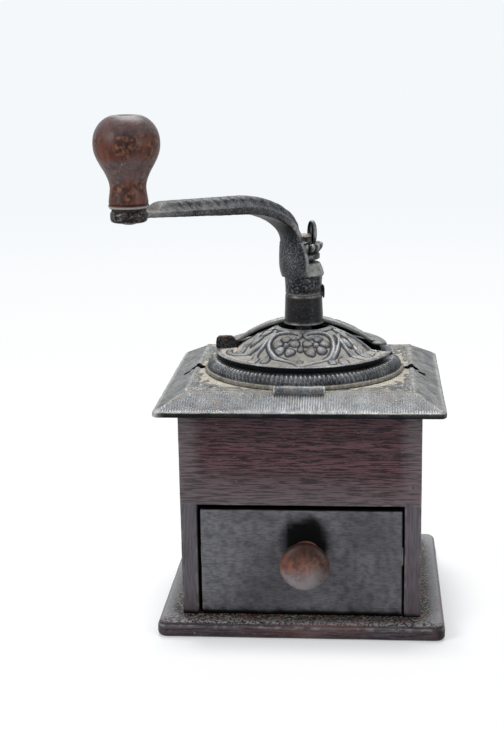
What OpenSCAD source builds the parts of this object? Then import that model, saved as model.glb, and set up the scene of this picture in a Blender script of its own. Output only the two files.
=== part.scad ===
// Box coffee mill: a wooden case with a drawer, an iron top with a swinging
// half lid, a crank on a vertical spindle, and a conical burr set inside.
// Millimetres. Origin: centre of the base board's underside. +X is the right
// side, +Y the back, +Z up. The drawer opens towards -Y.

/* [Base board] */
// Width of the base board
base_w = 178; // [170:1:210]
// Depth of the base board
base_d = 168; // [160:1:200]
// Thickness of the base board
base_t = 10; // [6:0.5:20]
// Radius of the base board's corners
base_corner_r = 6; // [2:0.5:12]

/* [Case] */
// Width of the case over its side boards
case_w = 148; // [144:1:164]
// Depth of the case over its front and back boards
case_d = 140; // [137:1:154]
// Height of the case above the base board
case_h = 131; // [120:1:160]
// Thickness of a side board
side_t = 10; // [7:0.5:12]
// Thickness of the front board above the drawer
front_t = 9; // [7:0.5:11]
// Thickness of the back board
back_t = 9; // [7:0.5:11]
// Height of the drawer opening above the base board
opening_h = 72; // [50:1:74]
// Height of the small rebate at each end of the front board
front_rebate_h = 2.4; // [1:0.1:5]

/* [Drawer] */
// Gap between the drawer front and each side board
drawer_side_gap = 1.5; // [0.8:0.1:3]
// Gap above the drawer front
drawer_top_gap = 2.8; // [1:0.1:5]
// Gap under the drawer
drawer_floor_gap = 0.3; // [0.2:0.1:1]
// How far the drawer sits to the right of the middle at rest
drawer_shift = 0.7; // [0:0.1:0.7]
// Thickness of the drawer front
drawer_front_t = 11; // [8:0.5:14]
// Thickness of the drawer's sides and back
drawer_wall_t = 6; // [4:0.5:9]
// Thickness of the drawer's bottom
drawer_bottom_t = 4; // [2:0.5:6]
// Height of the drawer's sides
drawer_wall_h = 56; // [44:1:60]
// Height of the finger of each drawer side that shows in the front
finger_h = 11.7; // [6:0.1:16]
// Room between the drawer's back and the back board
drawer_back_room = 8; // [3:0.5:30]
// Diameter of the drawer knob
drawer_knob_d = 30.2; // [20:0.2:40]
// How far the drawer knob stands out
drawer_knob_l = 25; // [15:0.5:35]
// Diameter of the drawer knob's neck
drawer_knob_neck_d = 15; // [10:0.5:18]
// Height of the drawer knob above the base board
drawer_knob_z = 40.3; // [30:0.1:48]
// How far the drawer knob stands right of the drawer's middle
drawer_knob_x = 2.8; // [0:0.1:6]

/* [Top plate] */
// Width of the top plate
plate_w = 176; // [170:1:200]
// Depth of the top plate
plate_d = 166; // [160:1:190]
// Thickness of the top plate's edge
lip_t = 3.2; // [2:0.1:6]
// Radius of the top plate's corners
plate_corner_r = 4; // [2:0.5:8]
// Width of the raised flat
flat_w = 142; // [132:1:146]
// Depth of the raised flat
flat_d = 134; // [132:1:140]
// Height of the raised flat above the plate's underside
flat_h = 11.7; // [8:0.1:16]
// Thickness of the raised flat
flat_t = 3.2; // [2:0.1:5]
// Length of the half-round pad at the front of the flat
pad_l = 31.4; // [15:0.2:40]
// Radius of the half-round pad
pad_r = 3.6; // [2:0.1:4]
// Radius of each plate screw's recess
recess_r = 4.2; // [4:0.1:5]
// Depth of each plate screw's recess
recess_depth = 6.5; // [3:0.5:7]

/* [Collar and rope moulding] */
// Radius of the collar's opening
mouth_r = 49.5; // [47:0.5:51]
// Wall of the collar that carries the lid
seat_wall = 3; // [2:0.1:4]
// Height of the collar above the raised flat
seat_h = 12.2; // [11:0.1:16]
// Outer radius of the foot of the rope moulding
rope_foot_r = 64; // [62:0.5:65]
// Height of the foot of the rope moulding
rope_foot_h = 2.9; // [2:0.1:5]
// Outer radius of the rope moulding
rope_r = 62.5; // [60:0.5:63.5]
// Height of the rope moulding above its foot
rope_h = 6; // [4:0.1:7]
// Outer radius of the plain back half of the collar
back_collar_r = 57; // [55:0.5:57]

/* [Lid] */
// Radius of the lid's flange
flange_r = 57; // [55:0.5:57]
// Thickness of the lid's flange
flange_t = 2; // [1.5:0.1:3]
// Radius at which the lid's dome springs from its flange
spring_line_r = 43.5; // [42:0.5:45]
// Radius of the lid's outer sphere
lid_sphere_r = 68; // [64:0.5:74]
// Thickness of the lid's dome
lid_wall = 2.6; // [2:0.1:3.4]
// Radius of the hole in the lid's neck
lid_neck_r = 16.4; // [14.5:0.1:18]
// Width of the ring around the lid's neck hole
lid_neck_w = 3; // [2:0.1:5]
// How far the lid's right end is left open, in degrees
lid_off_deg = 12; // [4:1:20]
// How far the lid's left end reaches under the back dome, in degrees
lid_under_deg = 14; // [8:1:20]
// Height of the thumb tab above the flange
tab_h = 7.2; // [5:0.2:10]
// Thickness of the thumb tab
tab_t = 3; // [2:0.2:4]

/* [Back dome and neck] */
// Gap between the lid's dome and the back dome
dome_gap = 1; // [0.5:0.1:1.4]
// Thickness of the back dome
dome_wall = 2.4; // [1.5:0.1:3]
// Radius of the neck tube at its foot
tube_foot_r = 12.9; // [12:0.1:14]
// Radius of the neck tube at its top
tube_top_r = 11.8; // [11:0.1:12.8]
// Height of the neck tube
tube_h = 19; // [14:0.5:30]
// Width of the strap that carries the back dome
strap_w = 30; // [20:1:40]
// Thickness of the strap
strap_t = 3; // [2:0.1:4]

/* [Spindle and burrs] */
// Radius of the spindle
spindle_r = 5.3; // [4.6:0.1:5.8]
// Radial clearance of the spindle in its bearings
bearing_gap = 0.06; // [0.02:0.01:0.1]
// Width across the spindle's two key flats
key_w = 8.6; // [7.5:0.1:8.8]
// Pitch of the thread under the adjusting nut
thread_pitch = 1.27; // [0.8:0.01:2]
// Turns of the adjusting nut from fine to coarse
nut_turns = 1.25; // [0.5:0.05:1.5]
// Length of the burr ring
burr_l = 18; // [15:0.5:20]
// Radius of the inner burr's foot
burr_r = 17; // [14:0.5:18]
// Gap between the burrs at their foot when set fine
burr_gap = 0.6; // [0.4:0.1:1.5]
// Ridges on the inner burr
burr_ridges = 10; // [6:1:14]
// Outer radius of the burr ring
ring_r = 24; // [23:0.5:26]
// Wall of the hopper bowl
bowl_wall = 3; // [2:0.1:4]
// Depth of the hopper bowl below the raised flat
bowl_depth = 46; // [44:1:50]
// Turns of the spindle spring
spring_turns = 5; // [3:1:7]
// Radius of the spring's wire
wire_r = 0.7; // [0.5:0.05:0.9]
// Height of the spindle spring when set fine
spring_h = 13; // [11:0.5:14]

/* [Crank] */
// Distance from the spindle to the crank knob's axis
crank_r = 150; // [120:1:170]
// Direction of the crank arm, degrees from -X towards -Y
crank_deg = 53; // [0:1:90]
// Height of the arm's underside above the neck tube
arm_rise = 57.2; // [54:0.2:72]
// Height that the arm gains towards the knob
arm_lift = 7.4; // [0:0.2:12]
// Height of the arm over the bend
arm_h = 11; // [9:0.5:16]
// Height of the arm near the knob
arm_tip_h = 8.5; // [6:0.5:11]
// Width of the arm's flange
arm_w = 16; // [12:0.5:20]
// Thickness of the arm's flange over the bend
arm_flange_h = 5; // [3:0.2:6]
// Width of the arm's ridge
ridge_w = 12; // [8:0.5:14]
// Width of the arm where it meets the foot
hub_w = 23; // [20:0.5:25]
// Radius of the cast foot under the adjusting nut
foot_r = 13.4; // [12.6:0.1:15]
// Height of the cast foot
foot_h = 8.6; // [6:0.2:12]
// Height of the cast sleeve under the foot
sleeve_h = 11.5; // [8:0.5:16]
// Radius of the boss under the crank knob
boss_r = 10.4; // [8:0.1:12]
// Thickness of the boss under the crank knob
boss_t = 6.4; // [4:0.2:10]

/* [Crank knob] */
// Greatest diameter of the crank knob
knob_d = 37; // [30:0.5:44]
// Height of the crank knob
knob_h = 50.5; // [44:0.5:60]
// Height of the knob's widest place
knob_belly_z = 34.9; // [30:0.1:38]
// Diameter of the knob's waist
knob_waist_d = 20.2; // [16:0.2:24]
// Height of the knob's waist
knob_waist_z = 11.6; // [8:0.1:14]
// Diameter of the knob's foot
knob_foot_d = 22.4; // [18:0.2:26]
// Diameter of the flat on top of the knob
knob_top_d = 15.6; // [13:0.2:20]
// Radius of the knob rivet
rivet_r = 3; // [2:0.1:4]

/* [Adjusting nut] */
// Radius of the nut's plain ring
nut_ring_r = 10.6; // [9.4:0.1:10.8]
// Radius of the nut's lobed crown
nut_crown_r = 12.8; // [11.4:0.1:13]
// Height of the adjusting nut without its thumb loop
nut_h = 12.4; // [11:0.2:14]
// Lobes around the nut's crown
nut_lobes = 16; // [8:1:18]
// Width of the thumb loop
loop_w = 8; // [6:0.2:9]
// Height of the thumb loop above the crown
loop_h = 13.4; // [8:0.2:16]

/* [Hidden] */
$fn = 64;

// Clearances between pieces, and the overshoot of a cut
turn_gap = 0.2;
pass_gap = 0.7;
knob_fit = 0.08;
ring_fit = 0.04;
cut = 1;

// Levels, from the floor up
z_case = base_t;
z_opening = z_case + opening_h;
z_front_board = z_opening + front_rebate_h;
z_plate = z_case + case_h;
z_flat = z_plate + flat_h;
z_under_flat = z_flat - flat_t;
z_rope = z_flat + rope_foot_h;
z_seat = z_flat + seat_h;
z_flange = z_seat + turn_gap;
z_flange_top = z_flange + flange_t;
back_step = 1.9;

// Fasteners
screw_r = 1.9;
nail_r = 0.9;
nail_l = 22;
screw_head_r = 3.4;
screw_head_h = 2;
screw_sink = 0.6;
base_screw_bite = 16;
plate_screw_bite = 14;

// Case
inner_w = case_w - 2 * side_t;
y_front = -case_d / 2;
y_back = case_d / 2;
board_x = case_w / 2 - side_t / 2;
base_screw_ys = [y_front + 22, 0, y_back - 22];
front_nail_zs = [z_front_board + 10, z_plate - 12];
back_nail_zs = [z_case + 25, z_case + case_h / 2, z_plate - 25];

// Plate underside, clear of the case's inner faces
cavity_w = inner_w - 2;
cavity_d = case_d - front_t - back_t - 2;
notch_drop = 2.2;
notch_w = 4.4;
notch_y = -15;
notch_out = 5;
pad_in = 1.4;
pad_up = 0.4;
film = 0.2;

// Spheres of the lid and the back dome
flange_slope = 8;
flange_rim_t = flange_t / 2;
z_sphere = z_flange_top - sqrt(pow(lid_sphere_r, 2) - pow(spring_line_r, 2));
dome_in_r = lid_sphere_r + dome_gap;
dome_out_r = dome_in_r + dome_wall;
z_dome_edge = z_flange_top + pass_gap;
z_lid_neck = z_sphere + sqrt(pow(lid_sphere_r, 2) - pow(lid_neck_r, 2));
z_tube_foot = z_lid_neck + 1.6;
z_tube_top = z_tube_foot + tube_h;
tube_round = 1.2;
rim_out_r = spring_line_r + 9.9;
rim_h = 4;
strap_y = flange_r + pass_gap;
strap_foot_w = strap_w + 26;
strap_wall_w = strap_w + 44;
strap_foot_d = flat_d / 2 - strap_y - 0.6;
dome_screw_x = strap_w / 2 + 6.5;
dome_screw_r = 1.6;

// Crank
z_sleeve = z_tube_top + turn_gap;
z_foot = z_sleeve + sleeve_h;
z_foot_top = z_foot + foot_h;
z_arm = z_tube_top + arm_rise;
z_arm_tip = z_arm + arm_lift;
boss_over = 3.8;
z_boss_top = z_arm_tip + boss_over;
foot_taper = 2.6;
foot_chamfer = 1.8;
sleeve_top_r = tube_top_r + 0.3;
sleeve_foot_r = tube_top_r - 0.4;
scoop_gap = 0.5;
scoop_r = nut_crown_r + scoop_gap;
hub_r = scoop_r + 2.3;
hub_h = 28;
hub_foot_h = 8;
arm_out = hub_r - 1;
arm_in = arm_out - 7.1;
bend_l = 45;
bend_h = 19;
bend_out_h = 22.5;
bend_u = arm_out + bend_l;
flange_tip_h = 0.55 * arm_flange_h;
ridge_end = crank_r - boss_r - 6;
lug_in = tube_top_r + 0.5;
lug_wall = 1.2;
lug_drop = 3.4;
lug_up = 5.5;
lug_span = 44;
lug_deg = 20;

// Adjusting nut and spindle
z_nut = z_foot_top + turn_gap;
z_nut_top = z_nut + nut_h;
nut_neck_r = 7.4;
nut_neck_h = 2;
nut_ring_h = 3.4;
lobe_cut_r = 1.5;
lobe_cut_out = 0.5;
nut_dish = 3;
loop_t = 2.6;
loop_sink = 4;
loop_rim = 1.4;
loop_panel = 0.6;
loop_in = spindle_r + 0.5;
loop_deg = -50;
loop_reach = sqrt(pow(loop_in + loop_t, 2) + pow(loop_w / 2, 2));
z_loop_top = z_nut_top + loop_h;
z_spindle_top = z_nut_top + 5.2;
tip_dome = 1.2;
tip_in = 1.4;
lift = thread_pitch * nut_turns;

// Burr set
z_bowl_foot = z_under_flat - bowl_depth;
bowl_mouth_r = mouth_r - 3.5;
bowl_flange_r = flange_r + 0.2;
bowl_flange_t = 3;
bowl_out_r = ring_r + bowl_wall;
z_throat = z_bowl_foot + burr_l;
throat_h = 3;
shoulder_w = 2.5;
burr_up = lift + 0.8;
z_inner_burr = z_bowl_foot + burr_up;
inner_burr_l = burr_l - burr_up;
burr_tip_r = spindle_r + 3.1;
burr_mouth_r = burr_tip_r + 6;
bore_slope = (burr_r + burr_gap - burr_mouth_r) / inner_burr_l;
bore_foot_r = burr_mouth_r + bore_slope * burr_l;
ridge_depth = 1.4;
pin_r = 1.2;
z_pin = z_inner_burr + inner_burr_l - 4;
pin_l = 2 * (burr_tip_r + 0.8);
bridge_t = 4.6;
z_bridge = z_bowl_foot - bridge_t;
bridge_w = 13;
bridge_boss_r = 8.4;
lug_x = bowl_out_r + 2.6;
lug_r = 4.6;
lug_h = 10;
bowl_bolt_r = 1.6;
bowl_bolt_pitch_r = mouth_r + 3.6;
bowl_bolt_head_r = 3;

// Spindle tail and spring
tail_r = 3.6;
washer_t = 1;
z_washer = z_bridge - spring_h;
cotter_r = 0.8;
cotter_out = 4;
cotter_eye_r = 1.1;
z_cotter = z_washer - washer_t - cotter_r;
z_tail = z_cotter - 2;
coil_r = tail_r + 0.7 + wire_r;
coil_rings = 8;
coil_sides = 6;
coil_pitch = (spring_h - 2 * wire_r) / spring_turns;

// Crank knob
knob_foot_h = 2.2;
knob_foot_in = 0.7;
knob_washer_t = 1.2;
z_knob_washer = z_boss_top;
z_knob = z_knob_washer + knob_washer_t + turn_gap;
z_knob_top = z_knob + knob_h;
rivet_head_r = 4.4;
rivet_head_h = 1.3;
rivet_recess = 2.6;
z_rivet_foot = z_boss_top - boss_t;
z_rivet_head = z_knob_top - rivet_recess + turn_gap;

// Drawer
drawer_w = inner_w - 2 * drawer_side_gap;
drawer_h = opening_h - drawer_top_gap - drawer_floor_gap;
z_drawer = z_case + drawer_floor_gap;
y_wall = y_front + drawer_front_t;
y_drawer_back = y_back - back_t - drawer_back_room;
wall_l = y_drawer_back - y_wall;
bottom_up = 2;
z_finger = z_case + 34.1;
drawer_nail_r = 0.7;
drawer_nail_l = 14;
drawer_nail_zs = [z_drawer + 12, z_drawer + drawer_wall_h - 12];
rim_r = drawer_knob_d / 2;
neck_r = drawer_knob_neck_d / 2;
knob_screw_r = 2;
knob_screw_bite = 13;

// A point at radius r and angle a
function polar(r, a) = [r * cos(a), r * sin(a)];
// Points of an arc about c
function arc(c, r, a0, a1, n) = [for (i = [0:n]) c + polar(r, a0 + (a1 - a0) * i / n)];

module iron() color([0.2, 0.2, 0.21]) children();
module steel() color([0.5, 0.5, 0.52]) children();
module dark_wood() color([0.2, 0.11, 0.1]) children();
module knob_wood() color([0.34, 0.15, 0.1]) children();

module board(p, size) translate(p) cube(size);

// A slab with round vertical corners, centred on the origin
module round_slab(w, d, h, r) {
    for (x = [-1, 1], y = [-1, 1])
        translate([x * (w / 2 - r), y * (d / 2 - r), 0]) cylinder(r = r, h = h);
    translate([-w / 2 + r, -d / 2, 0]) cube([w - 2 * r, d, h]);
    translate([-w / 2, -d / 2 + r, 0]) cube([w, d - 2 * r, h]);
}

// A low domed screw head standing on z = 0
module pan_head(r, h) rotate_extrude()
    polygon([[0, 0], [r, 0], [r, h * 0.45], [r * 0.72, h * 0.88], [r * 0.3, h], [0, h]]);

// A bar with round ends: width w along X, height h along Z, from y = 0 to t
module stadium(w, h, t) {
    for (z = [w / 2, h - w / 2]) translate([0, 0, z]) rotate([-90, 0, 0]) cylinder(d = w, h = t);
    translate([-w / 2, 0, w / 2]) cube([w, t, h - w]);
}

// A ring sector from angle a0, spanning a, between two radii and two levels
module ring_sector(r0, r1, z0, z1, a0, a) rotate([0, 0, a0]) rotate_extrude(angle = a)
    translate([r0, z0]) square([r1 - r0, z1 - z0]);

module base_board() dark_wood() difference() {
    round_slab(base_w, base_d, base_t, base_corner_r);
    base_screw_shapes(cut);
}

// The screws that come up through the base, or their holes when over > 0
module base_screw_shapes(over) for (s = [-1, 1], y = base_screw_ys) translate([s * board_x, y, 0]) {
    translate([0, 0, screw_sink]) cylinder(r = screw_r, h = base_t + base_screw_bite - screw_sink);
    translate([0, 0, screw_sink - over]) cylinder(r = screw_head_r, h = screw_head_h + over);
}

module base_screws() steel() base_screw_shapes(0);

module front_nail_shapes() for (s = [-1, 1], z = front_nail_zs) translate([s * board_x, y_front, z])
    rotate([-90, 0, 0]) cylinder(r = nail_r, h = nail_l);

module back_nail_shapes() for (s = [-1, 1], z = back_nail_zs)
    translate([s * case_w / 2, y_back - back_t / 2, z]) rotate([0, -90 * s, 0])
        cylinder(r = nail_r, h = nail_l);

module plate_screw_shafts() for (s = [-1, 1]) translate([s * board_x, 0, z_plate - plate_screw_bite])
    cylinder(r = screw_r, h = plate_screw_bite + flat_h - recess_depth);

module case_nails() steel() {
    front_nail_shapes();
    back_nail_shapes();
}

// One side board; s is -1 for the left and 1 for the right
module side_board(s) dark_wood() difference() {
    board([s * board_x - side_t / 2, y_front, z_case], [side_t, case_d, case_h]);
    board([s * board_x - side_t / 2 - cut, y_front - cut, z_front_board],
        [side_t + 2 * cut, front_t + cut, case_h]);
    base_screw_shapes(0);
    front_nail_shapes();
    back_nail_shapes();
    plate_screw_shafts();
}

module left_side() side_board(-1);
module right_side() side_board(1);

module back_board() dark_wood() difference() {
    board([-inner_w / 2, y_back - back_t, z_case], [inner_w, back_t, case_h]);
    back_nail_shapes();
}

module front_board() dark_wood() difference() {
    union() {
        board([-case_w / 2, y_front, z_front_board], [case_w, front_t, z_plate - z_front_board]);
        board([-inner_w / 2, y_front, z_opening], [inner_w, front_t, front_rebate_h + cut]);
    }
    front_nail_shapes();
}

// The sloped block of the plate, from its edge up to the raised flat
module plate_slope() hull() {
    lip_x = plate_w / 2 - plate_corner_r;
    lip_y = plate_d / 2 - plate_corner_r;
    for (x = [-lip_x, lip_x], y = [-lip_y, lip_y]) translate([x, y, z_plate + lip_t - film])
        cylinder(r = plate_corner_r, h = film, $fn = 32);
    board([-flat_w / 2, -flat_d / 2, z_flat - film], [flat_w, flat_d, film]);
}

// Section of the rope moulding, a quarter round over its foot
function rope_section() = concat(
    [[mouth_r, z_flat - cut], [rope_foot_r, z_flat - cut], [rope_foot_r, z_rope]],
    arc([rope_r - rope_h, z_rope], rope_h, 0, 90, 8),
    [[mouth_r, z_rope + rope_h]]);

module collar() {
    rotate([0, 0, 180]) rotate_extrude(angle = 180) polygon(rope_section());
    ring_sector(mouth_r, back_collar_r, z_flat - cut, z_seat - back_step, 0, 180);
    rotate_extrude() translate([mouth_r, z_flat - cut]) square([seat_wall, seat_h + cut]);
}

module bowl_bolt_shafts() for (a = [30, 150, 270]) rotate([0, 0, a])
    translate([bowl_bolt_pitch_r, 0, z_under_flat - bowl_flange_t])
        cylinder(r = bowl_bolt_r, h = bowl_flange_t + flat_t + rope_foot_h - 1);

module dome_screw_shafts() for (s = [-1, 1])
    translate([s * dome_screw_x, strap_y + strap_foot_d / 2, z_under_flat])
        cylinder(r = dome_screw_r, h = flat_t + strap_t);

module top_plate() iron() difference() {
    union() {
        translate([0, 0, z_plate]) round_slab(plate_w, plate_d, lip_t, plate_corner_r);
        plate_slope();
        collar();
        translate([-pad_l / 2, -flat_d / 2 + pad_in, z_flat + pad_up]) rotate([0, 90, 0])
            cylinder(r = pad_r, h = pad_l);
    }
    board([-cavity_w / 2, -cavity_d / 2, z_plate - cut], [cavity_w, cavity_d, z_under_flat - z_plate + cut]);
    translate([0, 0, z_plate]) cylinder(r = mouth_r, h = flat_h + seat_h + cut);
    for (s = [-1, 1]) {
        translate([s * board_x, 0, z_flat - recess_depth]) cylinder(r = recess_r, h = recess_depth + cut);
        board([s * (flat_w / 2 + notch_out) - notch_w / 2, notch_y, z_flat - 2 * notch_drop],
            [notch_w, notch_w, 2 * notch_drop]);
    }
    plate_screw_shafts();
    bowl_bolt_shafts();
    dome_screw_shafts();
}

module plate_screws() steel() {
    plate_screw_shafts();
    for (s = [-1, 1]) translate([s * board_x, 0, z_flat - recess_depth]) pan_head(screw_head_r, screw_head_h);
}

module hopper_bowl() iron() difference() {
    union() {
        rotate_extrude() polygon([
            [ring_r + ring_fit, z_bowl_foot], [bowl_out_r, z_bowl_foot],
            [bowl_out_r, z_throat + throat_h],
            [bowl_mouth_r + bowl_wall, z_under_flat - bowl_flange_t],
            [bowl_flange_r, z_under_flat - bowl_flange_t], [bowl_flange_r, z_under_flat],
            [bowl_mouth_r, z_under_flat],
            [ring_r - shoulder_w, z_throat + throat_h], [ring_r - shoulder_w, z_throat],
            [ring_r + ring_fit, z_throat]]);
        for (s = [-1, 1]) difference() {
            union() {
                translate([s * lug_x, 0, z_bowl_foot]) cylinder(r = lug_r, h = lug_h);
                board([s * lug_x - (s > 0 ? lug_r : 0), -lug_r, z_bowl_foot], [lug_r, 2 * lug_r, lug_h]);
            }
            translate([0, 0, z_bowl_foot - cut]) cylinder(r = ring_r + ring_fit + 1, h = lug_h + 2 * cut);
        }
    }
    bowl_bolt_shafts();
    bridge_screw_shafts();
}

module bowl_bolts() steel() {
    bowl_bolt_shafts();
    for (a = [30, 150, 270]) rotate([0, 0, a])
        translate([bowl_bolt_pitch_r, 0, z_under_flat - bowl_flange_t]) rotate([180, 0, 0])
            cylinder(r = bowl_bolt_head_r, h = 2.4, $fn = 6);
}

module bridge_screw_shafts() for (s = [-1, 1]) translate([s * lug_x, 0, z_bridge])
    cylinder(r = screw_r, h = bridge_t + lug_h - 2);

module bridge_screws() steel() {
    bridge_screw_shafts();
    for (s = [-1, 1]) translate([s * lug_x, 0, z_bridge]) rotate([180, 0, 0])
        pan_head(screw_head_r, screw_head_h);
}

module burr_bridge() iron() difference() {
    union() {
        board([-lug_x, -bridge_w / 2, z_bridge], [2 * lug_x, bridge_w, bridge_t]);
        for (s = [-1, 1]) translate([s * lug_x, 0, z_bridge]) cylinder(r = bridge_w / 2, h = bridge_t);
        translate([0, 0, z_bridge]) cylinder(r = bridge_boss_r, h = bridge_t);
    }
    translate([0, 0, z_bridge - cut]) cylinder(r = tail_r + bearing_gap, h = bridge_t + 2 * cut);
    bridge_screw_shafts();
}

module outer_burr() iron() difference() {
    translate([0, 0, z_bowl_foot]) cylinder(r = ring_r, h = burr_l);
    rotate_extrude() polygon([[0, z_bowl_foot - cut], [bore_foot_r + bore_slope * cut, z_bowl_foot - cut],
        [burr_mouth_r, z_throat], [burr_mouth_r + 1, z_throat + cut], [0, z_throat + cut]]);
    for (i = [0:2 * burr_ridges - 1]) rotate([0, 0, i * 180 / burr_ridges])
        translate([0, -ridge_depth / 2, z_bowl_foot + 3]) cube([burr_mouth_r + 2.4, ridge_depth, burr_l]);
}

module inner_burr() iron() difference() {
    translate([0, 0, z_inner_burr]) cylinder(r1 = burr_r, r2 = burr_tip_r, h = inner_burr_l);
    translate([0, 0, z_inner_burr - cut]) cylinder(r = spindle_r + ring_fit, h = inner_burr_l + 2 * cut);
    for (i = [0:burr_ridges - 1]) rotate([0, 0, i * 360 / burr_ridges + 12])
        translate([burr_tip_r - ridge_depth, -1, z_inner_burr + 2]) cube([burr_r, 2, inner_burr_l]);
    burr_pin_shape();
}

module burr_pin_shape() translate([-pin_l / 2, 0, z_pin]) rotate([0, 90, 0]) cylinder(r = pin_r, h = pin_l);

module burr_pin() steel() burr_pin_shape();

module spindle() steel() difference() {
    union() {
        translate([0, 0, z_tail]) cylinder(r = tail_r, h = z_inner_burr + cut - z_tail);
        translate([0, 0, z_inner_burr]) cylinder(r = spindle_r, h = z_spindle_top - tip_dome - z_inner_burr);
        translate([0, 0, z_spindle_top - tip_dome])
            cylinder(r1 = spindle_r, r2 = spindle_r - tip_in, h = tip_dome);
    }
    for (s = [-1, 1]) translate([s * (key_w / 2 + spindle_r), 0, (z_sleeve + z_foot_top + lift) / 2])
        cube([2 * spindle_r, 3 * spindle_r, z_foot_top - z_sleeve + lift + 2], center = true);
    burr_pin_shape();
    cotter_shape();
}

module cotter_shape() translate([-tail_r - cotter_out, 0, z_cotter]) rotate([0, 90, 0])
    cylinder(r = cotter_r, h = 2 * (tail_r + cotter_out));

module cotter_pin() steel() {
    cotter_shape();
    translate([-tail_r - cotter_out, 0, z_cotter]) sphere(r = cotter_eye_r);
}

module spring_washer() steel() difference() {
    translate([0, 0, z_washer - washer_t]) cylinder(r = coil_r + wire_r + 0.8, h = washer_t);
    translate([0, 0, z_washer - washer_t - cut]) cylinder(r = tail_r + ring_fit, h = washer_t + 2 * cut);
}

// Ring number i of the coil's wire
function coil_ring(i) = let (a = 360 * i / coil_rings, z = z_washer + wire_r + coil_pitch * i / coil_rings)
    [for (k = [0:coil_sides - 1]) let (b = 360 * k / coil_sides, r = coil_r + wire_r * cos(b))
        [r * cos(a), r * sin(a), z + wire_r * sin(b)]];

// Least gap from each ring of the coil to the turn above it
function coil_gap() = min([for (i = [0:coil_rings * (spring_turns - 1)])
    for (p = coil_ring(i), q = coil_ring(i + coil_rings)) norm(p - q)]);

module spindle_spring() {
    n = coil_rings * spring_turns;
    echo(coil_gap = coil_gap());
    points = [for (i = [0:n]) each coil_ring(i)];
    walls = [for (i = [0:n - 1], k = [0:coil_sides - 1])
        let (k1 = (k + 1) % coil_sides, a = i * coil_sides, b = a + coil_sides)
        each [[a + k, a + k1, b + k1], [a + k, b + k1, b + k]]];
    foot = [for (k = [1:coil_sides - 2]) [0, k + 1, k]];
    head = [for (k = [1:coil_sides - 2]) n * coil_sides * [1, 1, 1] + [0, k, k + 1]];
    steel() polyhedron(points = points, faces = concat(walls, foot, head));
}

// The back dome: half a sphere shell, its flared rim, strap with foot and low wall, and the neck tube
module back_dome() iron() difference() {
    union() {
        intersection() {
            translate([0, 0, z_sphere]) sphere(r = dome_out_r);
            board([-dome_out_r, 0, z_dome_edge], [2 * dome_out_r, dome_out_r, dome_out_r]);
        }
        rotate_extrude(angle = 180) polygon([[spring_line_r - 1.5, z_dome_edge], [rim_out_r, z_dome_edge],
            [rim_out_r, z_dome_edge + 0.8], [spring_line_r + 3.4, z_dome_edge + rim_h - 1.6],
            [spring_line_r - 1.5, z_dome_edge + rim_h]]);
        board([-strap_w / 2, spring_line_r - 2, z_dome_edge],
            [strap_w, strap_y + strap_t - spring_line_r + 2, strap_t]);
        board([-strap_w / 2, strap_y, z_flat], [strap_w, strap_t, z_dome_edge + strap_t - z_flat]);
        board([-strap_foot_w / 2, strap_y, z_flat], [strap_foot_w, strap_foot_d, strap_t]);
        board([-strap_wall_w / 2, strap_y, z_flat], [strap_wall_w, strap_t, z_seat - z_flat]);
        rotate_extrude() polygon(concat(
            [[0, z_tube_foot], [tube_foot_r, z_tube_foot]],
            arc([tube_top_r - tube_round, z_tube_top - tube_round], tube_round, 0, 90, 4),
            [[0, z_tube_top]]));
    }
    difference() {
        translate([0, 0, z_sphere]) sphere(r = dome_in_r);
        translate([0, 0, z_tube_foot]) cylinder(r = tube_foot_r, h = tube_h);
    }
    translate([0, 0, z_tube_foot - cut]) cylinder(r = spindle_r + bearing_gap, h = tube_h + 2 * cut);
    dome_screw_shafts();
}

module dome_screws() steel() {
    dome_screw_shafts();
    for (s = [-1, 1]) translate([s * dome_screw_x, strap_y + strap_foot_d / 2, z_flat + strap_t])
        pan_head(screw_head_r - 0.4, screw_head_h - 0.2);
}

// The lid: its flange, the dome's front half, the full neck ring and the tab
module hopper_lid() iron() {
    start = 180 - lid_under_deg;
    span = 180 + lid_under_deg - lid_off_deg;
    difference() {
        intersection() {
            translate([0, 0, z_sphere]) sphere(r = lid_sphere_r);
            union() {
                ring_sector(lid_neck_r, flange_r, z_flange, z_lid_neck + cut, start, span);
                ring_sector(lid_neck_r, lid_neck_r + lid_neck_w, z_lid_neck - 6, z_lid_neck + cut, 0, 360);
            }
        }
        translate([0, 0, z_sphere]) sphere(r = lid_sphere_r - lid_wall);
    }
    rotate([0, 0, start]) rotate_extrude(angle = span) polygon([[spring_line_r - 0.5, z_flange],
        [flange_r, z_flange], [flange_r, z_flange + flange_rim_t], [flange_r - flange_slope, z_flange_top],
        [spring_line_r - 0.5, z_flange_top]]);
    tab();
}

module tab() translate([0, -0.4, 0]) rotate([90, 0, 0]) linear_extrude(tab_t) polygon([
    [-flange_r + 0.2, z_flange_top - flange_t / 2], [-flange_r + 0.8, z_flange_top + tab_h],
    [-spring_line_r - 1.5, z_flange_top + tab_h], [-spring_line_r + 1.5, z_flange_top + tab_h - 3],
    [-spring_line_r + 1.5, z_flange_top - flange_t / 2]]);

// Height of the straight arm's underside at u, the distance from the spindle's axis
function arm_under(u) = z_arm + arm_lift * (u - bend_u) / (crank_r - bend_u);

// A quarter of an ellipse that bends from upright into the arm: l long, h high, up above the underside
function bend(l, h, up) = [for (i = [0:12]) let (b = 90 - 7.5 * i, u = bend_u - l * sin(b))
    [u, arm_under(u) + up - h * (1 - cos(b))]];
function backward(points) = [for (i = [len(points) - 1:-1:0]) points[i]];
arm_under_points = concat([[arm_out, z_foot]], bend(bend_l, bend_h, 0), [[crank_r, z_arm_tip]]);

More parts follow.
